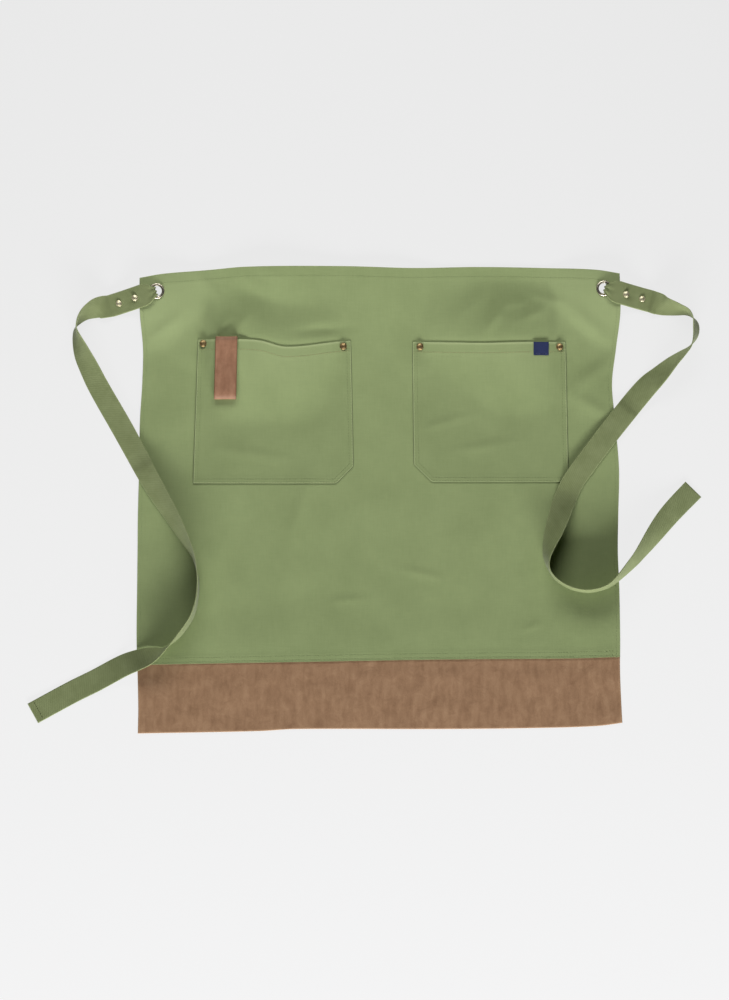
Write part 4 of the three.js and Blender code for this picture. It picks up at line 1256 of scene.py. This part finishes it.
# %% Eyelets
EYELET_SECTION = [
    (6.9, -0.8), (7.2, -1.15), (8.4, -1.3), (10.2, -1.2), (10.5, -0.8), (10.2, -0.45), (7.6, -0.45),
    (7.5, 1.8), (10.1, 1.85), (10.5, 2.15), (10.3, 2.6), (9.5, 3), (8.6, 3.12), (7.7, 2.9), (7.1, 2.4),
    (6.9, 1.7),
]
EYELET_STEPS = 64
EYELET_SMOOTH = 40
MERGE = 0.01
for name, (eye_x, eye_y) in EYELETS.items():
    middle = (eye_x * MM, eye_y * MM, 0)
    bpy.ops.object.select_all(action="DESELECT")
    bpy.ops.mesh.primitive_circle_add(vertices=len(EYELET_SECTION), radius=MM, location=middle)
    piece = bpy.context.object
    piece.name = f"metal_{name}"
    bpy.ops.object.transform_apply(location=True, rotation=True, scale=True)
    seat = float(canvas_under(eye_x, eye_y))
    for point, (radius, height) in zip(piece.data.vertices, EYELET_SECTION):
        point.co = ((eye_x + radius) * MM, eye_y * MM, (seat + height) * MM)
    bpy.ops.object.mode_set(mode="EDIT")
    bpy.ops.mesh.select_all(action="SELECT")
    bpy.ops.mesh.spin(steps=EYELET_STEPS, angle=2 * math.pi, center=middle, axis=(0, 0, 1))
    bpy.ops.mesh.select_all(action="SELECT")
    bpy.ops.mesh.remove_doubles(threshold=MERGE * MM)
    bpy.ops.mesh.normals_make_consistent(inside=False)
    bpy.ops.object.mode_set(mode="OBJECT")
    bpy.ops.object.shade_smooth_by_angle(angle=math.radians(EYELET_SMOOTH))
    piece.data.materials.append(nickel)
    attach(piece, "root")
    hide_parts(name)
    print(piece.name, "faces:", len(piece.data.polygons))

# %% [markdown]
# Thread is twisted from a few strands of cotton, so its tone changes along it. One noise gives
# both the tones and the fibres. The hems, the pockets, the mouths, the end of a tie and the label
# are each sewn in a colour of their own.

# %% Thread
def thread_finish(name, dark, light):
    """Cotton thread: twisted tones, fibres as bump."""
    material, tree, shader = finish_of(name, Roughness=0.8, Specular_IOR_Level=0.25)
    place = node(tree, "TexCoord", output="Object")
    twist = node(tree, "TexNoise", {"Vector": place, "Scale": 900, "Detail": 3})
    fibres = node(tree, "Bump", {"Strength": 0.4, "Distance": 0.0001, "Height": twist})
    feed(tree, shader, Base_Color=ramp(tree, twist, (0.35, dark), (0.65, light)), Normal=fibres)
    return material


green_thread = thread_finish("green_thread", (0.15, 0.185, 0.08), (0.22, 0.265, 0.12))
tan_thread = thread_finish("tan_thread", (0.25, 0.235, 0.11), (0.36, 0.34, 0.17))
hem_thread = thread_finish("hem_thread", (0.205, 0.252, 0.112), (0.265, 0.322, 0.15))
dark_thread = thread_finish("dark_thread", (0.07, 0.085, 0.035), (0.11, 0.13, 0.055))
navy_thread = thread_finish("navy_thread", (0.05, 0.06, 0.12), (0.09, 0.1, 0.18))
print("threads:", ", ".join(material.name for material in bpy.data.materials if "thread" in material.name))

# %% [markdown]
# The stitches are real thread here, not paint: each is a short bead that dips into the cloth at
# both ends. There are hundreds of them, so one bead of few faces is copied along every seam by
# array arithmetic and all the beads of a seam become one mesh. A bead is a row of rings, each with
# its place along the stitch, its thickness and its lift.

# %% Stitches along a path
STITCH = 3.8
STITCH_LONG = 1.5
THREAD_ROUND = 0.24
BEAD_SIDES = 6
BEAD = [(-1, 0.4, -0.9), (-0.8, 0.9, -0.1), (0, 1, 0.35), (0.8, 0.9, -0.1), (1, 0.4, -0.9)]


def bead_faces():
    """Faces of one bead: rings of points joined by quads and closed at both ends."""
    rings = [[ring * BEAD_SIDES + side for side in range(BEAD_SIDES)] for ring in range(len(BEAD))]
    faces = []
    for near, far in zip(rings, rings[1:]):
        for side in range(BEAD_SIDES):
            following = (side + 1) % BEAD_SIDES
            faces.append((near[side], near[following], far[following], far[side]))
    return [*faces, rings[0][::-1], rings[-1]]


def paces(path):
    """Places a stitch apart along a path of (x, y) or (x, y, z), and the headings there."""
    way = travelled(path)
    count = max(int(way[-1] / STITCH), 1)
    at = (np.arange(count) + 0.5) * way[-1] / count

    def place(distance):
        return np.stack([np.interp(distance, way, column) for column in path.T], -1)

    return place(at), unit(place(at + 0.5) - place(at - 0.5))


def on_cloth(path, height):
    """Stitches of a path laid on a cloth: places, headings and normals."""
    at, heading = paces(np.array(path, float))
    x, y = at.T
    slope_x = (height(x + 1, y) - height(x - 1, y)) / 2
    slope_y = (height(x, y + 1) - height(x, y - 1)) / 2
    normal = unit(np.stack([-slope_x, -slope_y, np.ones_like(x)], -1))
    climb = (heading * np.stack([slope_x, slope_y], -1)).sum(1, keepdims=True)
    return laid(x, y, height(x, y)), unit(np.concatenate([heading, climb], 1)), normal


def stitch(name, seams, material):
    """All the stitches of some seams as one mesh."""
    at, heading, normal = (np.concatenate(parts) for parts in zip(*seams))
    side = np.cross(normal, heading)
    points = []
    for along, thick, lift in BEAD:
        centre = at + heading * (along * STITCH_LONG) + normal * (lift * THREAD_ROUND)
        for angle in np.arange(BEAD_SIDES) * 2 * math.pi / BEAD_SIDES:
            outward = side * math.cos(angle) + normal * math.sin(angle)
            points.append(centre + outward * (thick * THREAD_ROUND))
    points = np.stack(points, 1)
    size = len(BEAD) * BEAD_SIDES
    shape = bead_faces()
    faces = [tuple(bead * size + corner for corner in face) for bead in range(len(at)) for face in shape]
    mesh = bpy.data.meshes.new(name)
    mesh.from_pydata((points.reshape(-1, 3) * MM).tolist(), [], faces)
    hang_mesh(name, mesh, material)
    print(name, "stitches:", len(at))


print("faces of a stitch:", len(bead_faces()))

# %% [markdown]
# A maker sews the hems of the panel first, then both rows round each pocket, and finishes the
# mouths in a tan thread that shows. Each row is a path on the plan, a set distance inside an edge,
# and the stitches take their height and tilt from the cloth.

# %% Stitched seams
HEM_FOOT = 3
HEM_SHORT = 20
SEAM_FROM, SEAM_TO = -297, 336
ROW_INSET = 3
SEAM_PLACES = 200
MOUTH_PLACES = 120
rows = np.linspace(0, 1, SEAM_PLACES)
hem_y = line(SEAM_LINE, 0) + HEM_FOOT + rows * (panel_height - HEM_SHORT)
across_x = SEAM_FROM + rows * (SEAM_TO - SEAM_FROM)
panel_seams = [
    np.stack([line(LEFT_SIDE, hem_y) + SIDE_STITCH, hem_y], -1),
    np.stack([line(RIGHT_SIDE, hem_y) - SIDE_STITCH, hem_y], -1),
    np.stack([across_x, line(TOP_EDGE, across_x) - TOP_STITCH], -1),
    *(np.stack([across_x, line(SEAM_LINE, across_x) + row], -1) for row in SEAM_STITCHES),
]
stitch("panel_stitches", [on_cloth(path, canvas_top) for path in panel_seams], hem_thread)


def pocket_path(pocket, inset):
    """Corners of a row of stitches a distance inside the sewn edge of a pocket."""
    left, right = pocket["foot"][0] + inset, pocket["foot"][1] - inset
    low, level = pocket["foot"][2] + inset, pocket["mouth"][2] - ROW_INSET
    mouth_left, mouth_right = pocket_sides(pocket, level)
    slant = CHAMFER - inset * (2 - math.sqrt(2))
    foot = [(left, low), (right, low)]
    if pocket["cut"] > 0:
        foot[1:] = [(right - slant, low), (right, low + slant)]
    else:
        foot[:1] = [(left, low + slant), (left + slant, low)]
    return [(mouth_left + inset, level), *foot, (mouth_right - inset, level)]


for pocket in POCKETS:
    cloth = cloth_of(pocket)
    seams = [on_cloth(pocket_path(pocket, inset), cloth) for inset in POCKET_STITCHES]
    stitch(f"pocket_{pocket['name']}_stitches", seams, green_thread)
    left, right, _ = pocket["mouth"]
    x = np.linspace(left + ROW_INSET, right - ROW_INSET, MOUTH_PLACES)
    mouth_path = np.stack([x, pocket_mouth(pocket, x) - MOUTH_STITCH], -1)
    stitch(f"mouth_{pocket['name']}_stitches", [on_cloth(mouth_path, cloth)], tan_thread)

# %% [markdown]
# The free end of the left tie is folded under and held by one dark row across it. The row lies on
# the webbing's own frame, since the webbing is not a height over the plan. The label is held by
# one navy row along its foot.

# %% Stitched ends
TIE_HEM = 9
END_PLACES = 30
LABEL_INSET = 2
LABEL_PLACES = 20
middles, across, normal, steps = left_tie
row = int(np.argmin(np.abs(steps[-1] - steps - TIE_HEM)))
upward = normal[row] * np.sign(normal[row, 2])
reach = STRAP_WIDTH / 2 - ROW_INSET
offsets = np.linspace(-reach, reach, END_PLACES)[:, None]
at, heading = paces(middles[row] + across[row] * offsets + upward * (WEBBING + END_FOLD) / 2)
stitch("tie_end_stitches", [(at, heading, np.broadcast_to(upward, at.shape))], dark_thread)


def label_rise(x, y):
    """Height of the label where its stitches pull it in."""
    return pocket_under(POCKETS[1], x, y) + LABEL_SEAT + LABEL_THICK - LABEL_PULL


label_x = np.linspace(LABEL_LEFT + LABEL_INSET, LABEL_RIGHT - LABEL_INSET, LABEL_PLACES)
label_path = np.stack([label_x, np.full_like(label_x, LABEL_LOW + LABEL_STITCH)], -1)
stitch("label_stitches", [on_cloth(label_path, label_rise)], navy_thread)
